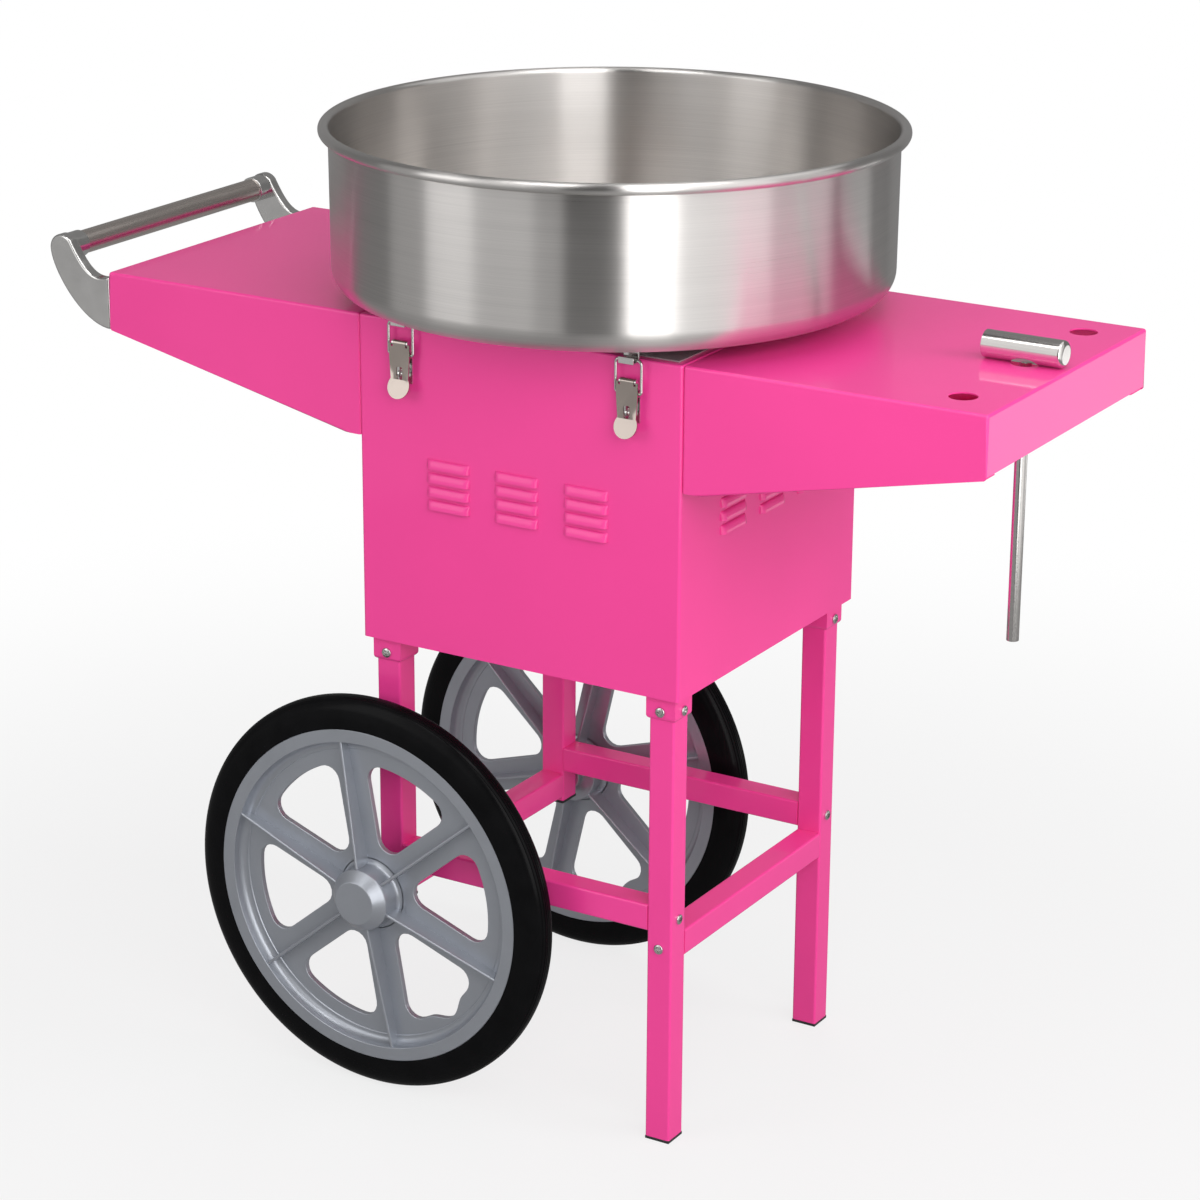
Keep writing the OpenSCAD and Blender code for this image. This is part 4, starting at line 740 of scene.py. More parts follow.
def node_group(name, sockets):
    """A Geometry Nodes tree with named inputs and one mesh out."""
    tree = bpy.data.node_groups.new(name, "GeometryNodeTree")
    tree.interface.new_socket("Geometry", in_out="INPUT", socket_type="NodeSocketGeometry")
    for socket, kind in sockets:
        tree.interface.new_socket(socket, in_out="INPUT", socket_type=kind)
    tree.interface.new_socket("Geometry", in_out="OUTPUT", socket_type="NodeSocketGeometry")
    graph = Graph(tree)
    given = tree.nodes.new("NodeGroupInput")
    return graph, {output.name: Value(graph, output) for output in given.outputs if output.name}


def close_group(graph, instances, material):
    """Ends a tree with real meshes in their finish."""
    real = graph.node("GeometryNodeRealizeInstances", None, {0: instances})
    painted = graph.node("GeometryNodeSetMaterial", None, {"Geometry": real, "Material": material})
    ending = graph.tree.nodes.new("NodeGroupOutput")
    graph.feed(ending.inputs[0], painted)
    return graph.tree


def grid_tree():
    """Copies of one shape in rows and columns."""
    graph, given = node_group("rows_and_columns", (
        ("Shape", "NodeSocketObject"), ("Columns", "NodeSocketInt"), ("Rows", "NodeSocketInt"),
        ("Column pitch", "NodeSocketFloat"), ("Row pitch", "NodeSocketFloat"),
        ("Finish", "NodeSocketMaterial")))
    width = (given["Columns"] - 1) * given["Column pitch"]
    height = (given["Rows"] - 1) * given["Row pitch"]
    grid = graph.node("GeometryNodeMeshGrid", None, {
        "Size X": width, "Size Y": height, "Vertices X": given["Columns"], "Vertices Y": given["Rows"]})
    shape = graph.node("GeometryNodeObjectInfo", None, {"Object": given["Shape"]}, "Geometry")
    copies = graph.node("GeometryNodeInstanceOnPoints", None, {"Points": grid, "Instance": shape})
    return close_group(graph, copies, given["Finish"])


def ring_tree():
    """Copies of one shape round the Z axis."""
    graph, given = node_group("round_an_axis", (
        ("Shape", "NodeSocketObject"), ("Count", "NodeSocketInt"), ("Finish", "NodeSocketMaterial")))
    points = graph.node("GeometryNodePoints", None, {"Count": given["Count"]})
    step = graph.node("GeometryNodeInputIndex") * math.tau / given["Count"]
    turn = graph.node("ShaderNodeCombineXYZ", None, {"Z": step})
    shape = graph.node("GeometryNodeObjectInfo", None, {"Object": given["Shape"]}, "Geometry")
    copies = graph.node("GeometryNodeInstanceOnPoints", None, {
        "Points": points, "Instance": shape, "Rotation": turn})
    return close_group(graph, copies, given["Finish"])


def fastener_tree():
    """Copies of one fastener on points, each facing its own way and turned by chance."""
    graph, given = node_group("fasteners_on_points", (
        ("Shape", "NodeSocketObject"), ("Seed", "NodeSocketInt"), ("Finish", "NodeSocketMaterial")))
    facing = graph.node("GeometryNodeInputNamedAttribute", {"data_type": "FLOAT_VECTOR"}, {"Name": "facing"})
    chance = graph.node("FunctionNodeRandomValue", {"data_type": "FLOAT"}, {
        3: math.tau, "Seed": given["Seed"]}, 1)
    spun = graph.node("ShaderNodeCombineXYZ", None, {"Z": chance})
    aimed = graph.node("FunctionNodeAlignEulerToVector", {"axis": "Z"}, {
        "Rotation": spun, "Vector": facing})
    shape = graph.node("GeometryNodeObjectInfo", None, {"Object": given["Shape"]}, "Geometry")
    copies = graph.node("GeometryNodeInstanceOnPoints", None, {
        "Points": given["Geometry"], "Instance": shape, "Rotation": aimed})
    return close_group(graph, copies, given["Finish"])


TREES = {"grid": grid_tree, "ring": ring_tree, "fasteners": fastener_tree}


def repeated(kind, shape, values, carrier=None):
    """Runs a tree on a shape and returns the mesh that it makes."""
    pattern = link("pattern_shape", shape)
    carrier = carrier or bpy.data.meshes.new("pattern_carrier")
    holder = bpy.data.objects.new("pattern_holder", carrier)
    bpy.context.scene.collection.objects.link(holder)
    tree = TREES[kind]()
    modifier = holder.modifiers.new("pattern", "NODES")
    modifier.node_group = tree
    keys = {item.name: item.identifier for item in tree.interface.items_tree if item.in_out == "INPUT"}
    for name, value in {"Shape": pattern, **values}.items():
        modifier[keys[name]] = value
    bm = evaluated(holder)
    bpy.data.objects.remove(pattern)
    bpy.data.node_groups.remove(tree)
    return bm


# Cabinet

HOOD_STEPS = 12
HOOD_END_STEPS = 8
CABINET_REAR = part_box("rear_panel")[1].y


def louvre_hood(size):
    """One pressed hood, its lip along X at the origin, its top at +Y, standing out along +Z."""
    half = size.louvre_l / 2
    flat = half - size.louvre_end
    turns = [math.pi / 2 * i / HOOD_END_STEPS for i in range(1, HOOD_END_STEPS + 1)]
    ends = [flat + size.louvre_end * math.sin(turn) for turn in turns]
    across = [-x for x in reversed(ends)] + [-flat, 0, flat] + ends
    bm = bmesh.new()
    rows = []
    for i in range(HOOD_STEPS + 1):
        turn = math.pi / 2 * i / HOOD_STEPS
        row = []
        for x in across:
            past = max(abs(x) - flat, 0) / size.louvre_end
            out = size.louvre_out * math.sin(turn) * math.sqrt(max(1 - past * past, 0))
            row.append(bm.verts.new((x, size.louvre_h * math.cos(turn), out)))
        rows.append(row)
    for above, below in zip(rows, rows[1:]):
        for i in range(len(across) - 1):
            bm.faces.new((below[i], below[i + 1], above[i + 1], above[i]))
    return bm


def louvre_spans(size):
    """Where the columns of louvres start and end on a wall, from its middle."""
    first = -(size.louvre_columns - 1) / 2 * size.louvre_column
    middles = [first + i * size.louvre_column for i in range(size.louvre_columns)]
    return [(m - size.louvre_l / 2, m + size.louvre_l / 2) for m in middles]


def wrap_path(size, left, right, front, rear, inset):
    """Points along the cabinet's plan, from the rear left round the front, and the stretches with louvres."""
    turn = max(size.fold_r, inset)
    spans = louvre_spans(size)
    side_mid = front + (CABINET_REAR - front) / 2
    points = [(left + inset, rear)]
    open_after = set()
    for high, low in [(side_mid - a, side_mid - b) for a, b in spans]:
        open_after.add(len(points))
        points += [(left + inset, high), (left + inset, low)]
    points += arc((left + turn, front + turn), turn - inset, math.pi, 1.5 * math.pi, CORNER_STEPS)
    for low, high in [((left + right) / 2 + a, (left + right) / 2 + b) for a, b in spans]:
        open_after.add(len(points))
        points += [(low, front + inset), (high, front + inset)]
    points += arc((right - turn, front + turn), turn - inset, 1.5 * math.pi, math.tau, CORNER_STEPS)
    for low, high in [(side_mid + a, side_mid + b) for a, b in spans]:
        open_after.add(len(points))
        points += [(right - inset, low), (right - inset, high)]
    points.append((right - inset, rear))
    return points, open_after


def cabinet_sheet(size):
    """Front and sides in one folded sheet, with the top flange and an opening behind each louvre."""
    low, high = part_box("cabinet_wrap")
    walls = (low.x + size.louvre_out, high.x - size.louvre_out, low.y + size.louvre_out, high.y)
    heights = [(0, low.z)]
    open_rows = set()
    for i in range(size.louvre_rows):
        lip = low.z + size.louvre_low + i * size.louvre_pitch
        open_rows.add(len(heights))
        heights += [(0, lip), (0, lip + size.louvre_h)]
    fold = size.top_fold_r
    turn = arc((0, 0), fold, math.pi, math.pi / 2, CORNER_STEPS)
    heights += [(fold + inset, high.z - fold + rise) for inset, rise in turn]
    heights.append((size.flange_w, high.z))
    bm = bmesh.new()
    rows = []
    for inset, z in heights:
        points, open_after = wrap_path(size, *walls, inset)
        rows.append([bm.verts.new((x, y, z)) for x, y in points])
    for j, (below, above) in enumerate(zip(rows, rows[1:])):
        for i in range(len(below) - 1):
            if j in open_rows and i in open_after:
                continue
            bm.faces.new((below[i], below[i + 1], above[i + 1], above[i]))
    bmesh.ops.remove_doubles(bm, verts=bm.verts[:], dist=MERGE)
    return bm, walls, low.z


def make_cabinet(size):
    """The louvred sheet, the rear panel, the floor and the deck."""
    sheet, (left, right, front, _), bottom = cabinet_sheet(size)
    values = {"Columns": size.louvre_columns, "Rows": size.louvre_rows, "Column pitch": size.louvre_column,
              "Row pitch": size.louvre_pitch, "Finish": finish("pink_paint")}
    height = bottom + size.louvre_low + (size.louvre_rows - 1) / 2 * size.louvre_pitch
    across = (left + right) / 2
    along = (front + CABINET_REAR) / 2
    walls = (((across, front, height), FACING_FRONT), ((left, along, height), FACING_LEFT),
             ((right, along, height), FACING_RIGHT))
    fields = []
    for place, facing in walls:
        hoods = repeated("grid", louvre_hood(size), values)
        fields.append(moved(hoods, shift(place), facing))
    whole = thickened(joined(sheet, *fields), size.sheet_t)
    piece("cabinet_sheet", whole, "pink_paint", "cabinet_wrap")
    dress("rear_panel", "pink_paint", size.sheet_edge)
    dress("floor_pan", "pink_paint", size.sheet_edge)
    dress("deck_plate", "deck_steel", size.sheet_edge * 3)


# Trays


def tray_sheet(size, node, sign):
    """An upside-down pan that leans its deep side on the cabinet, folded from one sheet."""
    low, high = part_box(node)
    span, depth = high.x - low.x, high.z - low.z
    side = [(0, 0), (span, 0)]
    bend = (size.tray_level, -depth)
    side += fillet((span, 0), (span, -size.tray_outer_h), bend, size.tray_outer_r)
    side += [bend, (0, -depth)]
    bm = bmesh.new()
    root = low.x if sign > 0 else high.x
    front = [bm.verts.new((root + sign * x, low.y, high.z + z)) for x, z in side]
    rear = [bm.verts.new((root + sign * x, high.y, high.z + z)) for x, z in side]
    folded = [bm.faces.new(front), bm.faces.new(list(reversed(rear)))]
    for i, j in ((0, 1), (1, 2), (len(side) - 1, 0)):
        folded.append(bm.faces.new((front[j], front[i], rear[i], rear[j])))
    outer, inner = 2 + CORNER_STEPS, 3 + CORNER_STEPS
    for edge, inwards in ((front, size.hem_w), (rear, -size.hem_w)):
        hem = [bm.verts.new(edge[i].co + Vector((0, inwards, 0))) for i in (outer, inner)]
        folded.append(bm.faces.new((edge[outer], edge[inner], hem[1], hem[0])))
    bmesh.ops.recalc_face_normals(bm, faces=folded)
    if max(folded, key=lambda face: face.calc_center_median().z).normal.z < 0:
        bmesh.ops.reverse_faces(bm, faces=folded)
    folds = [e for e in bm.edges if len(e.link_faces) == 2]
    bmesh.ops.bevel(bm, geom=folds, offset=size.tray_edge, segments=FOLD_SEGMENTS, profile=0.5,
                    affect="EDGES")
    return bm


def cut_cone_holes(bm, size):
    """Cuts the row of round holes near the tray's end."""
    top = max(bm.faces, key=lambda face: face.normal.z * face.calc_area())
    high = top.calc_center_median().z
    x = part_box("right_tray")[1].x - size.cone_hole_in
    rim = list(top.edges)
    bmesh.ops.delete(bm, geom=[top], context="FACES_ONLY")
    for i in (-1, 0, 1):
        points = arc((x, i * size.cone_hole_pitch), size.cone_hole_r, 0, math.tau, HOLE_STEPS)[:-1]
        ring = [bm.verts.new((px, py, high)) for px, py in points]
        rim += [bm.edges.new((ring[k - 1], ring[k])) for k in range(len(ring))]
    bmesh.ops.triangle_fill(bm, use_beauty=True, edges=rim, normal=(0, 0, 1))
    return bm


def make_trays(size):
    """Both trays, the right one with its three holes."""
    plain = tray_sheet(size, "left_tray", -1)
    holed = cut_cone_holes(tray_sheet(size, "right_tray", 1), size)
    for node, sheet in (("left_tray", plain), ("right_tray", holed)):
        whole = thickened(sheet, size.sheet_t)
        piece(node + "_sheet", whole, "pink_paint", node, edge=size.sheet_edge)


# Stand


def square_tube(size, node):
    """A square tube with round edges, along the longest side of the node's box."""
    low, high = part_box(node)
    span = high - low
    axis = max(range(3), key=lambda i: span[i])
    across, up = [i for i in range(3) if i != axis]
    w, h = span[across] / 2, span[up] / 2
    bm = prism(rounded_box(w, h, size.tube_edge), -span[axis] / 2, span[axis] / 2)
    turn = Matrix.Identity(4)
    for row in range(3):
        turn[row][0], turn[row][1], turn[row][2] = row == across, row == up, row == axis
    return outward(moved(bm, shift((low + high) / 2), turn))


def make_stand(size):
    """Legs, rails, the sockets under the cabinet and the black plugs."""
    for corner in CORNERS:
        piece(corner + "_leg_tube", square_tube(size, corner + "_leg"), "pink_paint", corner + "_leg")
    for side in ("front", "rear", "left", "right"):
        piece(side + "_rail_tube", square_tube(size, side + "_rail"), "pink_paint", side + "_rail")
    dress("leg_sockets", "pink_paint", size.sheet_edge * 2)
    dress("leg_plugs", "black_plastic", size.edge * 2)
    dress("axle", "zinc_steel", size.edge)
    dress("axle_nuts", "zinc_steel", size.edge)


# Wheels

# Width of the rim as a share of the tyre's
RIM_SHARE = 0.967
VALVE_WINDOW = 4
WHEEL_TURNS = {"front": math.radians(40), "rear": math.radians(17)}
TYRE_STEPS = 48
COVE_STEPS = 12
WINDOW_STEPS = 64
# Where a groove's section has its points, and how far its floor reaches, as shares of its width
GROOVE_POINTS = (-0.5, -0.3, 0.3, 0.5)
GROOVE_FLOOR = 0.4
# Rounding of a rib as a share of its thickness
FIN_EDGE = 0.45


def tyre_ring(size, outer_r, width):
    """Solid tyre with a round shoulder and fine grooves round its tread."""
    first = -(size.groove_count - 1) / 2 * size.groove_pitch
    grooves = [first + i * size.groove_pitch for i in range(size.groove_count)]
    across = [width / 2 * -math.cos(math.pi * i / TYRE_STEPS) for i in range(TYRE_STEPS + 1)]
    across = [y for y in across if all(abs(y - g) > size.groove_w for g in grooves)]
    across = sorted(across + [g + share * size.groove_w for g in grooves for share in GROOVE_POINTS])
    outline = []
    for y in across:
        side = min(abs(y) / (width / 2), 1)
        crown = (1 - side ** size.tyre_power) ** (1 / size.tyre_power)
        sunk = any(abs(y - g) < GROOVE_FLOOR * size.groove_w for g in grooves)
        outline.append((size.rim_r + (outer_r - size.rim_r) * crown - sunk * size.groove_d, y))
    return lathe(outline, FINE_TURN_STEPS)


def rim_ring(size, width):
    """Rim with its flat face and the hollow cove down to the web."""
    h, e = width / 2, size.moulded_edge
    floor_h, inner_r = size.cove_h, size.web_r - size.web_t / 2
    across, down = size.rim_face_r - size.cove_r, h - floor_h
    face = fillet((size.rim_r, -h), (size.rim_r, h), (size.rim_face_r, h), e)
    lip = fillet((size.rim_r, h), (size.rim_face_r, h), (size.rim_face_r, 0), e)
    turns = [math.pi / 2 * i / COVE_STEPS for i in range(1, COVE_STEPS + 1)]
    cove = [(size.cove_r + across * math.cos(t), h - down * math.sin(t)) for t in turns]
    step = fillet(cove[-1], (size.web_r, floor_h), (inner_r, 0), e)
    upper = face + lip + [p for p in cove if p[1] < lip[-1][1]] + step + [(inner_r, 0)]
    lower = [(r, -z) for r, z in reversed(upper[:-1])]
    return lathe(upper + lower, FINE_TURN_STEPS)


def window_outline(size, index):
    """Rounded three-sided window between two spokes."""
    gap = math.pi / size.spoke_count
    r = size.window_corner_r
    reach = size.window_r - r
    root = (size.spoke_w / 2 + r) / math.sin(gap)
    lean = gap - math.asin((size.spoke_w / 2 + r) / reach)
    low = (reach * math.cos(lean), -reach * math.sin(lean))
    high = (low[0], -low[1])
    half_turn = math.pi / 2
    points = arc((root, 0), r, half_turn + gap, 3 * half_turn - gap, CORNER_STEPS)
    points += arc(low, r, -half_turn - gap, -lean, CORNER_STEPS)
    points += outer_edge(size, lean, size.pocket_d if index == VALVE_WINDOW else 0)
    points += arc(high, r, lean, half_turn + gap, CORNER_STEPS)
    turn = Matrix.Rotation((2 * index + 1) * gap, 2)
    return [tuple(turn @ Vector(p)) for p in points]


def outer_edge(size, lean, depth):
    """Outer edge of a window, with a soft pocket of some depth in its middle."""
    points = []
    for i in range(1, WINDOW_STEPS):
        turn = -lean + 2 * lean * i / WINDOW_STEPS
        share = min(abs(turn) * size.window_r / (size.pocket_w / 2), 1)
        reach = size.window_r + depth * math.cos(math.pi / 2 * share) ** 2
        points.append((reach * math.cos(turn), reach * math.sin(turn)))
    return points


def spider(size):
    """Web that joins the rim to the hub, with a window between each two spokes."""
    edge = arc((0, 0), size.web_r, 0, math.tau, TURN_STEPS)[:-1]
    windows = [window_outline(size, i) for i in range(size.spoke_count)]
    return round_edges(plate([edge] + windows, -size.web_t / 2, size.web_t / 2), size.moulded_edge)


def fin(size, hub_w, rim_w):
    """Thin rib on both faces of one spoke, from the hub's end out to the rim's lip."""
    tall, low = hub_w / 2 - size.fin_drop, rim_w / 2 - size.fin_drop
    start, reach = size.hub_r - size.fin_t, size.rim_face_r + size.moulded_edge
    side = [(start, -tall), (reach, -low), (reach, low), (start, tall)]
    rib = prism(side, -size.fin_t / 2, size.fin_t / 2)
    return moved(round_edges(rib, size.fin_t * FIN_EDGE, SOFT_SEGMENTS), FACING_FRONT)


def hub(size, width, sign):
    """Hub flared into the web, with the axle's bore and the nut's pocket in one end."""
    bore = (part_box("axle")[1].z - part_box("axle")[0].z) / 4
    h, e, web, flare = width / 2, size.moulded_edge, size.web_t / 2, size.hub_flare
    floor, foot = h - size.nut_pocket_d, size.hub_r + flare + e
    outline = rounded([
        (bore, floor, 0), (size.nut_pocket_r, floor, 0), (size.nut_pocket_r, h, 0), (size.hub_r, h, e),
        (size.hub_r, web, flare), (foot, web, 0), (foot, -web, 0), (size.hub_r, -web, flare),
        (size.hub_r, -h, e), (bore, -h, 0)])
    return lathe([(r, sign * z) for r, z in outline])


def make_wheel(size, end):
    """One wheel with its tyre and hub cap."""
    low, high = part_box(end + "_tyre")
    at = shift((low + high) / 2)
    outer_r, width = (high.z - low.z) / 2, high.y - low.y
    tyre = moved(tyre_ring(size, outer_r, width), at, FACING_FRONT)
    piece(end + "_tyre_ring", tyre, "tyre_black", end + "_tyre")
    hub_low, hub_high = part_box(end + "_wheel")
    turn = Matrix.Rotation(WHEEL_TURNS[end], 4, "Z")
    hub_w, rim_w = hub_high.y - hub_low.y, width * RIM_SHARE
    values = {"Count": size.spoke_count, "Finish": finish("wheel_grey")}
    fins = repeated("ring", fin(size, hub_w, rim_w), values)
    outside = 1 if end == "front" else -1
    body = joined(rim_ring(size, rim_w), spider(size), hub(size, hub_w, outside), fins)
    piece(end + "_wheel_body", moved(body, at, FACING_FRONT, turn), "wheel_grey", end + "_wheel")
    dress(end + "_hub_cap", "wheel_grey", size.moulded_edge)


def make_wheels(size):
    """Both wheels."""
    for end in ("front", "rear"):
        make_wheel(size, end)


# Push handle

BRACKET_FOOT = 0.05
BOSS_L = 0.022
# Where the round tip leaves its circle for the bracket's upper curve
TIP_TURN = math.radians(142)


def bracket_outline(size, reach, rise, foot_low, foot_high):
    """Swan-neck side of a bracket, in distance out from the tray and height over its top."""
    r = size.bracket_tip_r
    height = foot_high - foot_low
    back = (reach + r * math.cos(TIP_TURN), rise + r * math.sin(TIP_TURN))
    low_lead, low_trail = ((reach + r) * 0.5, foot_low), (reach + r, rise - height * 0.42)
    lower = bezier((0, foot_low), low_lead, low_trail, (reach + r, rise), CURVE_STEPS)
    high_lead, high_trail = (reach * 0.4, foot_high - height * 0.16), (reach * 0.6, rise * 0.25)
    upper = bezier((0, foot_high), high_lead, high_trail, back, CURVE_STEPS)
    tip = arc((reach, rise), r, 0, TIP_TURN, 3 * CORNER_STEPS)
    return lower + tip[1:-1] + list(reversed(upper))


def make_handle(size):
    """Push handle on its two brackets."""
    low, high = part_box("handle_tube")
    grip_r = (high.z - low.z) / 2
    grip = (low + high) / 2
    half = (high.y - low.y) / 2
    tray_low, tray_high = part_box("left_tray")
    bracket_low, bracket_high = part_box("handle_brackets")
    reach, rise = tray_low.x - grip.x, grip.z - tray_high.z
    foot_low = bracket_low.z - tray_high.z
    outline = bracket_outline(size, reach, rise, foot_low, foot_low + BRACKET_FOOT)
    half_t, bore = size.bracket_t / 2, grip_r - size.sheet_t
    collar = [(bore, 0, 0), (size.boss_r, 0, 0), (size.boss_r, BOSS_L, size.edge * 3), (bore, BOSS_L, 0)]
    outwards = Matrix.Scale(-1, 4, (1, 0, 0))
    parts = []
    for sign, facing in ((-1, FACING_REAR), (1, FACING_FRONT)):
        side = round_edges(prism(outline, -half_t, half_t), size.bracket_edge, SOFT_SEGMENTS)
        y = sign * (bracket_high.y - half_t)
        parts.append(outward(moved(side, shift((tray_low.x, y, tray_high.z)), outwards, FACING_FRONT)))
        parts.append(moved(lathe(rounded(collar)), shift((grip.x, y, grip.z)), facing))
    piece("handle_bracket_pair", joined(*parts), "chrome", "handle_brackets")
    tube = [(0, -half, 0), (grip_r, -half, size.edge), (grip_r, half, size.edge), (0, half, 0)]
    bm = moved(lathe(rounded(tube)), shift(grip), FACING_FRONT)
    piece("handle_tube_round", bm, "brushed_tube", "handle_tube")


# Bowl

BOWL_CORNER_STEPS = 16
BEAD_STEPS = 24


def make_bowl(size):
    """Spun bowl with its rolled rim, the seat under it and the catches."""
    low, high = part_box("bowl")
    axis = (low + high) / 2
    height = high.z - low.z
    t, corner, bead = size.bowl_t, size.bowl_corner_r, size.bowl_bead_r
    bead_h = height - bead
    hole, base, top = size.bowl_hole_r, size.bowl_base_r, size.bowl_top_r
    outer = fillet((hole, 0), (base, 0), (top, bead_h), corner, BOWL_CORNER_STEPS)
    neck = (top, bead_h - bead)
    roll = (high.x - low.x) / 2 - bead
    rim = arc((roll, bead_h), bead, -0.5 * math.pi, math.pi, BEAD_STEPS)
    inner = fillet((top - t, bead_h), (base - t, t), (hole, t), corner - t, BOWL_CORNER_STEPS)
    outline = [(hole, 0)] + outer + [neck] + rim + inner + [(hole, t)]
    bm = moved(lathe(outline, FINE_TURN_STEPS), shift((axis.x, axis.y, low.z)))
    piece("bowl_spun", bm, "stainless", "bowl")
    dress("bowl_catches", "chrome", size.edge)
    dress("bowl_seat", "cast_aluminium", size.edge * 2)
    dress("bowl_gasket", "rubber", size.edge)


# Latches

# Height of the slot's middle as a share of the lever's, and its corners as a share of its width
SLOT_SHARE = 0.43
SLOT_CORNER = 0.3


def lever(size, node):
    """A packed lever whose slot stands open round its staple."""
    low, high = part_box(node)
    centre = middle(node)
    centre.z = low.z + (high.z - low.z) * SLOT_SHARE
    outline = rounded_box(size.slot_w / 2, size.slot_h / 2, size.slot_w * SLOT_CORNER)
    depth = high.y - low.y
    return carved(copy_of(node), moved(prism(outline, -depth, depth), shift(centre), FACING_FRONT))


def make_latches(size):
    """Levers, wire bails and the plates that hold them."""
    for corner in CORNERS:
        blade = lever(size, corner + "_lever")
        piece(corner + "_lever_slotted", blade, "nickel", corner + "_lever", edge=size.edge)
        piece(corner + "_bail_wire", copy_of(corner + "_bail"), "chrome", corner + "_bail")
    dress("latch_bases", "chrome", size.edge)


# Spinner and drive


def make_spinner(size):
    """Spinner head, heater band, cap and shaft, with the parts that bring current."""
    dress("spinner_head", "cast_aluminium", size.edge * 2)
    dress("spinner_cap", "cast_aluminium", size.edge * 2)
    dress("heater_band", "heater_alloy", size.edge / 2)
    dress("spinner_shaft", "zinc_steel", size.edge)
    dress("slip_rings", "brass", size.edge)


def make_drive(size):
    """Motor, its bracket and rubber mounts, and the brushes, inside the cabinet."""
    dress("motor_housing", "motor_paint", size.edge * 4)
    dress("motor_bracket", "zinc_steel", size.edge)
    dress("motor_mounts", "rubber", size.edge * 2)
    dress("brush_block", "black_plastic", size.edge)
    dress("carbon_brushes", "black_plastic", size.edge)


# Controls

KNOB_GRIP = 0.012


def make_controls(size):
    """Rockers, ribbed heat knob and power inlet on the rear panel."""
    dress("switch_bodies", "black_plastic", size.edge * 2)
    dress("power_inlet", "black_plastic", size.edge * 2)
    dress("heat_control", "zinc_steel", size.edge)
    for rocker in ("power_rocker", "heat_rocker"):
        dress(rocker, "rocker_red", size.edge * 2)
    low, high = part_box("heat_knob")
    r = size.knob_rib_r
    rib = lathe(rounded([(0, 0, 0), (r, 0, 0), (r, KNOB_GRIP, r / 2), (0, KNOB_GRIP, 0)]), RIB_STEPS)
    upright = moved(rib, shift(((high.x - low.x) / 2 - r, 0, 0)))
    ribs = repeated("ring", upright, {"Count": size.knob_ribs, "Finish": finish("black_plastic")})
    base = ((low.x + high.x) / 2, high.y - KNOB_GRIP - 2 * r, (low.z + high.z) / 2)
    knob = joined(copy_of("heat_knob"), moved(ribs, shift(base), FACING_REAR))
    piece("heat_knob_ribbed", knob, "black_plastic", "heat_knob", edge=size.edge / 2)


# Scoop


def make_scoop(size):
    """Sugar scoop in the right tray's middle hole."""
    dress("scoop_cup", "polished", size.edge)
    dress("scoop_rod", "polished", size.edge)


# Fasteners

# Height of a head and whether it has a recess, by its radius
HEADS = {0.0047: (0.0028, True), 0.0038: (0.0022, True), 0.0024: (0.0008, False)}
# Straight side of a head and depth of its recess as shares of its height
HEAD_FLANK = 0.45
RECESS_DEPTH = 0.85
# Half the width and the reach of a recess's arms as shares of the head's radius
RECESS_ARM = 0.18
RECESS_REACH = 0.62
DOME_STEPS = 8


def islands(node):
    """The separate solids of a node, as lists of points."""
    bm = copy_of(node)
    left = set(bm.verts)
    groups = []
    while left:
        group, edge = set(), [left.pop()]
        while edge:
            vert = edge.pop()
            group.add(vert)
            near = {e.other_vert(vert) for e in vert.link_edges} & left
            left -= near
            edge += near
        groups.append([vert.co.copy() for vert in group])
    bm.free()
    return groups


def seat_of(points):
    """A fastener's head: the middle of its crown, which way it faces, and its radius."""
    low = Vector([min(p[i] for p in points) for i in range(3)])
    high = Vector([max(p[i] for p in points) for i in range(3)])
    centre = (low + high) / 2
    lean = sum(points, Vector()) / len(points) - centre
    axis = max(range(3), key=lambda i: abs(lean[i]))
    facing = Vector()
    facing[axis] = math.copysign(1, lean[axis])
    crown = centre.copy()
    crown[axis] = high[axis] if facing[axis] > 0 else low[axis]
    radius = (high - low)[(axis + 1) % 3] / 2
    return crown, facing, radius


def pan_head(radius, height, recess):
    """Domed head with its crown at the origin, and a crossed recess where it has one."""
    flank = height * HEAD_FLANK
    dome = arc((0, 0), 1, 0, math.pi / 2, DOME_STEPS)
    outline = [(0, -height), (radius, -height)]
    outline += [(radius * x, flank - height + (height - flank) * y) for x, y in dome]
    bm = lathe(outline, SCREW_STEPS)
    if not recess:
        return bm
    arm, reach = radius * RECESS_ARM, radius * RECESS_REACH
    corner = [(arm, arm), (arm, reach), (-arm, reach)]
    cross = []
    for _ in range(4):
        cross += corner
        corner = [(-y, x) for x, y in corner]
    return carved(bm, prism(cross, -height * RECESS_DEPTH, height))


def fasteners(node):
    """Heads of a node's screws or rivets, sorted by radius."""
    groups = {}
    for points in islands(node):
        crown, facing, radius = seat_of(points)
        groups.setdefault(round(radius, 4), []).append((crown, facing))
    parts = []
    for seed, (radius, places) in enumerate(sorted(groups.items())):
        places.sort(key=lambda place: tuple(place[0]))
        height, recess = HEADS[radius]
        carrier = bpy.data.meshes.new("places")
        carrier.from_pydata([crown for crown, facing in places], [], [])
        facings = carrier.attributes.new("facing", "FLOAT_VECTOR", "POINT")
        for i, (crown, facing) in enumerate(places):
            facings.data[i].vector = facing
        values = {"Seed": seed, "Finish": finish("chrome")}
        parts.append(repeated("fasteners", pan_head(radius, height, recess), values, carrier))
    return joined(*parts)


def make_fasteners():
    """Screws of the frame, trays and rear panel, and the rivets of the latches."""
    for node in ("frame_screws", "tray_screws", "case_fasteners"):
        piece(node + "_heads", fasteners(node), "chrome", node)


# Studio

SENSOR_W = 36
FLOOR_R = 12
FLOOR_STEPS = 96
FLOOR_GREY = 0.55
FLOOR_ROUGHNESS = 0.9
# How far from the middle the floor starts to turn white, and where it is white
FLOOR_FADE = (0.55, 1.7)
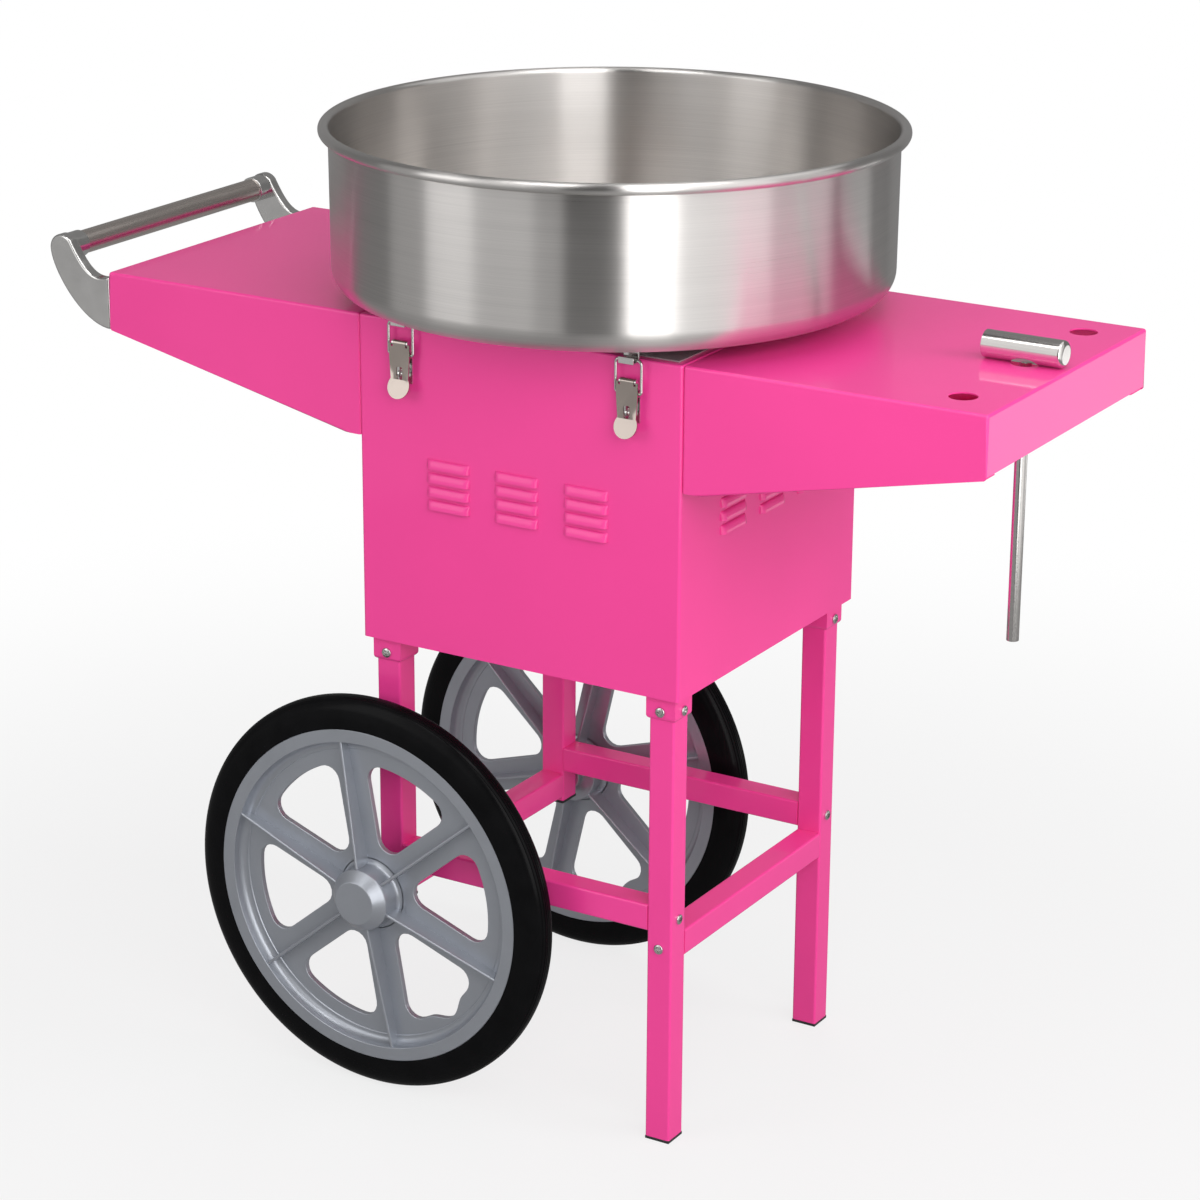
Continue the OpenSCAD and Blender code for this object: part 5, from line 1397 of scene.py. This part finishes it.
# Lights: degrees to the right of the camera, distance, height, side and the name of the power
LAMPS = {
    "key": (16, 2.2, 1.5, 2.0, "key"), "right": (66, 2.4, 1.6, 1.2, "right"),
    "left": (-62, 2.6, 1.5, 1.6, "fill"), "back": (180, 2.6, 1.8, 1.6, "fill"),
    "top": (0, 0.01, 2.6, 2.2, "top"),
}
CARD_R = 2.1
CARD_ROWS = 8
CARD_COLUMNS = 16
# Patches of the dome: from and to, right of the camera and up, in degrees, and how light each is
CARDS = (
    (-19, 3.5, -20, 85, 0.01), (5.5, 21, -20, 54, 2.8), (23, 60, -20, 42, 1.15), (60, 90, -20, 42, 0.7),
    (-30, -19, -20, 42, 0.4), (-54, -30, -20, -3, 0.42), (-54, -30, -3, 42, 0.9), (-75, -54, -20, -3, 0.52),
    (-75, -54, -3, 42, 1.7), (-95, -75, -20, 42, 0.42), (-130, -95, -20, 42, 0.2), (-128, -60, 42, 54, 0.1),
    (-128, -60, 60, 80, 0.1), (98, 120, -19, -12, 1.4), (90, 136, -12, 42, 0.2), (136, 232, -20, 80, 0.25),
    (-60, -20, 54, 72, 4.6), (5, 60, 54, 72, 4.6),
)


def floor_material(studio):
    """A matt floor that fades to white away from the cart, and shows darker in reflections."""
    made = bpy.data.materials.new("pale_floor")
    made.use_nodes = True
    graph = Graph(made.node_tree)
    shader = made.node_tree.nodes["Principled BSDF"]
    shader.inputs["Base Color"].default_value = (FLOOR_GREY, FLOOR_GREY, FLOOR_GREY, 1)
    shader.inputs["Roughness"].default_value = FLOOR_ROUGHNESS
    ray = graph.node("ShaderNodeLightPath", output="Is Camera Ray")
    mirror = graph.node("ShaderNodeLightPath", output="Is Glossy Ray")
    level = ray + mirror * studio.floor_mirrored
    glow = graph.node("ShaderNodeEmission", None, {"Color": (1, 1, 1, 1), "Strength": level})
    here = graph.node("ShaderNodeTexCoord", output="Object")
    reach = graph.node("ShaderNodeVectorMath", {"operation": "LENGTH"}, {0: here}, "Value")
    white = graph.node("ShaderNodeMapRange", {"interpolation_type": "SMOOTHSTEP"}, {
        "Value": reach, "From Min": FLOOR_FADE[0], "From Max": FLOOR_FADE[1],
        "To Min": studio.floor_white, "To Max": 1})
    mixed = graph.node("ShaderNodeMixShader", None, {
        0: ray * white + mirror, 1: Value(graph, shader.outputs[0]), 2: glow})
    graph.feed(made.node_tree.nodes["Material Output"].inputs["Surface"], mixed)
    return made


def make_world(studio):
    """White for the camera and in reflections, a softer light on the pieces."""
    world = bpy.data.worlds.new("white_studio")
    bpy.context.scene.world = world
    world.use_nodes = True
    graph = Graph(world.node_tree)
    ray = graph.node("ShaderNodeLightPath", output="Is Camera Ray")
    mirror = graph.node("ShaderNodeLightPath", output="Is Glossy Ray")
    through = graph.node("ShaderNodeLightPath", output="Is Transmission Ray")
    strength = studio.ambient + (1 - studio.ambient) * (ray + mirror + through)
    graph.feed(world.node_tree.nodes["Background"].inputs["Strength"], strength)
    world.node_tree.nodes["Background"].inputs["Color"].default_value = (1, 1, 1, 1)


def make_floor(studio):
    """Pale round floor."""
    bm = bmesh.new()
    bmesh.ops.create_circle(bm, cap_ends=True, radius=FLOOR_R, segments=FLOOR_STEPS)
    floor = link("floor", bm)
    floor.data.materials.append(floor_material(studio))


def camera_turn(degrees):
    """Angle about Z of a direction so many degrees to the right of the camera."""
    eye = bpy.context.scene.cart_studio.eye
    return math.atan2(eye[1], eye[0]) + math.radians(degrees)


def card(name, start, end, low, high, level):
    """A grey patch of a dome that only reflections show, in degrees to the right of the camera and up."""
    centre = middle("deck_plate")
    bm = bmesh.new()
    rows = []
    for i in range(CARD_ROWS + 1):
        tilt = math.radians(low + (high - low) * i / CARD_ROWS)
        ring = arc(centre, CARD_R * math.cos(tilt), camera_turn(start), camera_turn(end), CARD_COLUMNS)
        rows.append([bm.verts.new((x, y, centre.z + CARD_R * math.sin(tilt))) for x, y in ring])
    for below, above in zip(rows, rows[1:]):
        for i in range(CARD_COLUMNS):
            bm.faces.new((below[i], below[i + 1], above[i + 1], above[i]))
    made = link(name, bm)
    grey = bpy.data.materials.new(name)
    grey.use_nodes = True
    graph = Graph(grey.node_tree)
    glow = graph.node("ShaderNodeEmission", None, {"Color": (level, level, level, 1), "Strength": 1.0})
    graph.feed(grey.node_tree.nodes["Material Output"].inputs["Surface"], glow)
    made.data.materials.append(grey)
    made.visible_camera = False
    made.visible_diffuse = False
    made.visible_shadow = False
    made.visible_transmission = False


def lamp(name, turn, reach, height, side, power):
    """A square soft light, so many degrees to the right of the camera, aimed at the cabinet."""
    light = bpy.data.lights.new(name, "AREA")
    light.size = side
    light.energy = power
    made = bpy.data.objects.new(name, light)
    bpy.context.scene.collection.objects.link(made)
    target = middle("cabinet_wrap")
    angle = camera_turn(turn)
    place = Vector((target.x + reach * math.cos(angle), target.y + reach * math.sin(angle), height))
    aim = (target - place).to_track_quat("-Z", "Y").to_matrix().to_4x4()
    made.matrix_world = shift(place) @ aim
    made.visible_glossy = name == "key"


def make_camera(studio):
    """Camera at the angle of the picture."""
    camera = bpy.data.cameras.new("camera")
    camera.sensor_fit = "HORIZONTAL"
    camera.sensor_width = SENSOR_W
    camera.lens = studio.lens
    eye = Vector(studio.eye)
    ahead = (Vector(studio.target) - eye).normalized()
    level = ahead.cross(Vector((0, 0, 1))).normalized()
    upright = level.cross(ahead)
    right = level * math.cos(studio.roll) + upright * math.sin(studio.roll)
    up = upright * math.cos(studio.roll) - level * math.sin(studio.roll)
    made = bpy.data.objects.new("camera", camera)
    bpy.context.scene.collection.objects.link(made)
    turn = Matrix((right, up, -ahead)).transposed().to_4x4()
    made.matrix_world = shift(eye) @ turn
    bpy.context.scene.camera = made


def make_studio(studio):
    """Camera, floor, lights and the cards that metal reflects."""
    bpy.context.scene.view_settings.view_transform = "Standard"
    make_camera(studio)
    make_world(studio)
    make_floor(studio)
    for i, values in enumerate(CARDS):
        card(f"card_{i}", *values)
    for name, (turn, reach, height, side, power_name) in LAMPS.items():
        lamp(name, turn, reach, height, side, getattr(studio, power_name))


# Operators


class CART_OT_studio(bpy.types.Operator):
    """Set up the camera, the floor and the light"""

    bl_idname = "cart.studio"
    bl_label = "Studio"

    def execute(self, context):
        make_studio(context.scene.cart_studio)
        return {"FINISHED"}


class CART_OT_cabinet(bpy.types.Operator):
    """Fold the louvred cabinet and fit its deck, floor and rear panel"""

    bl_idname = "cart.cabinet"
    bl_label = "Cabinet"

    def execute(self, context):
        make_cabinet(context.scene.cart_sizes)
        return {"FINISHED"}


class CART_OT_trays(bpy.types.Operator):
    """Fold the two trays"""

    bl_idname = "cart.trays"
    bl_label = "Trays"

    def execute(self, context):
        make_trays(context.scene.cart_sizes)
        return {"FINISHED"}


class CART_OT_stand(bpy.types.Operator):
    """Make the legs, rails, sockets, plugs and axle"""

    bl_idname = "cart.stand"
    bl_label = "Stand"

    def execute(self, context):
        make_stand(context.scene.cart_sizes)
        return {"FINISHED"}


class CART_OT_wheels(bpy.types.Operator):
    """Make both wheels with tyres and hub caps"""

    bl_idname = "cart.wheels"
    bl_label = "Wheels"

    def execute(self, context):
        make_wheels(context.scene.cart_sizes)
        return {"FINISHED"}


class CART_OT_handle(bpy.types.Operator):
    """Make the push handle and its brackets"""

    bl_idname = "cart.handle"
    bl_label = "Handle"

    def execute(self, context):
        make_handle(context.scene.cart_sizes)
        return {"FINISHED"}


class CART_OT_bowl(bpy.types.Operator):
    """Spin the bowl and fit its seat and catches"""

    bl_idname = "cart.bowl"
    bl_label = "Bowl"

    def execute(self, context):
        make_bowl(context.scene.cart_sizes)
        return {"FINISHED"}


class CART_OT_latches(bpy.types.Operator):
    """Make the four latches"""

    bl_idname = "cart.latches"
    bl_label = "Latches"

    def execute(self, context):
        make_latches(context.scene.cart_sizes)
        return {"FINISHED"}


class CART_OT_spinner(bpy.types.Operator):
    """Make the spinner"""

    bl_idname = "cart.spinner"
    bl_label = "Spinner"

    def execute(self, context):
        make_spinner(context.scene.cart_sizes)
        return {"FINISHED"}


class CART_OT_drive(bpy.types.Operator):
    """Make the motor and its parts"""

    bl_idname = "cart.drive"
    bl_label = "Drive"

    def execute(self, context):
        make_drive(context.scene.cart_sizes)
        return {"FINISHED"}


class CART_OT_controls(bpy.types.Operator):
    """Make the switches, the knob and the inlet"""

    bl_idname = "cart.controls"
    bl_label = "Controls"

    def execute(self, context):
        make_controls(context.scene.cart_sizes)
        return {"FINISHED"}


class CART_OT_scoop(bpy.types.Operator):
    """Make the sugar scoop"""

    bl_idname = "cart.scoop"
    bl_label = "Scoop"

    def execute(self, context):
        make_scoop(context.scene.cart_sizes)
        return {"FINISHED"}


class CART_OT_fasteners(bpy.types.Operator):
    """Set the heads of all screws and rivets"""

    bl_idname = "cart.fasteners"
    bl_label = "Fasteners"

    def execute(self, context):
        make_fasteners()
        return {"FINISHED"}


STEPS = (
    CART_OT_studio, CART_OT_cabinet, CART_OT_trays, CART_OT_stand, CART_OT_wheels, CART_OT_handle,
    CART_OT_bowl, CART_OT_latches, CART_OT_spinner, CART_OT_drive, CART_OT_controls, CART_OT_scoop,
    CART_OT_fasteners,
)


class CART_PT_sidebar(bpy.types.Panel):
    """Lists the steps that build the cart"""

    bl_idname = "CART_PT_sidebar"
    bl_label = "Cotton candy cart"
    bl_space_type = "VIEW_3D"
    bl_region_type = "UI"
    bl_category = "Cart"

    def draw(self, context):
        for step in STEPS:
            self.layout.operator(step.bl_idname)


GROUPS = {"cart_sizes": CartSizes, "cart_colours": CartColours, "cart_studio": CartStudio}
CLASSES = (*GROUPS.values(), *STEPS, CART_PT_sidebar)


def register():
    for cls in CLASSES:
        bpy.utils.register_class(cls)
    for name, group in GROUPS.items():
        setattr(bpy.types.Scene, name, PointerProperty(type=group))


def unregister():
    for name in GROUPS:
        delattr(bpy.types.Scene, name)
    for cls in reversed(CLASSES):
        bpy.utils.unregister_class(cls)


def main():
    register()
    for step in STEPS:
        group, name = step.bl_idname.split(".")
        getattr(getattr(bpy.ops, group), name)()


if __name__ == "__main__":
    main()
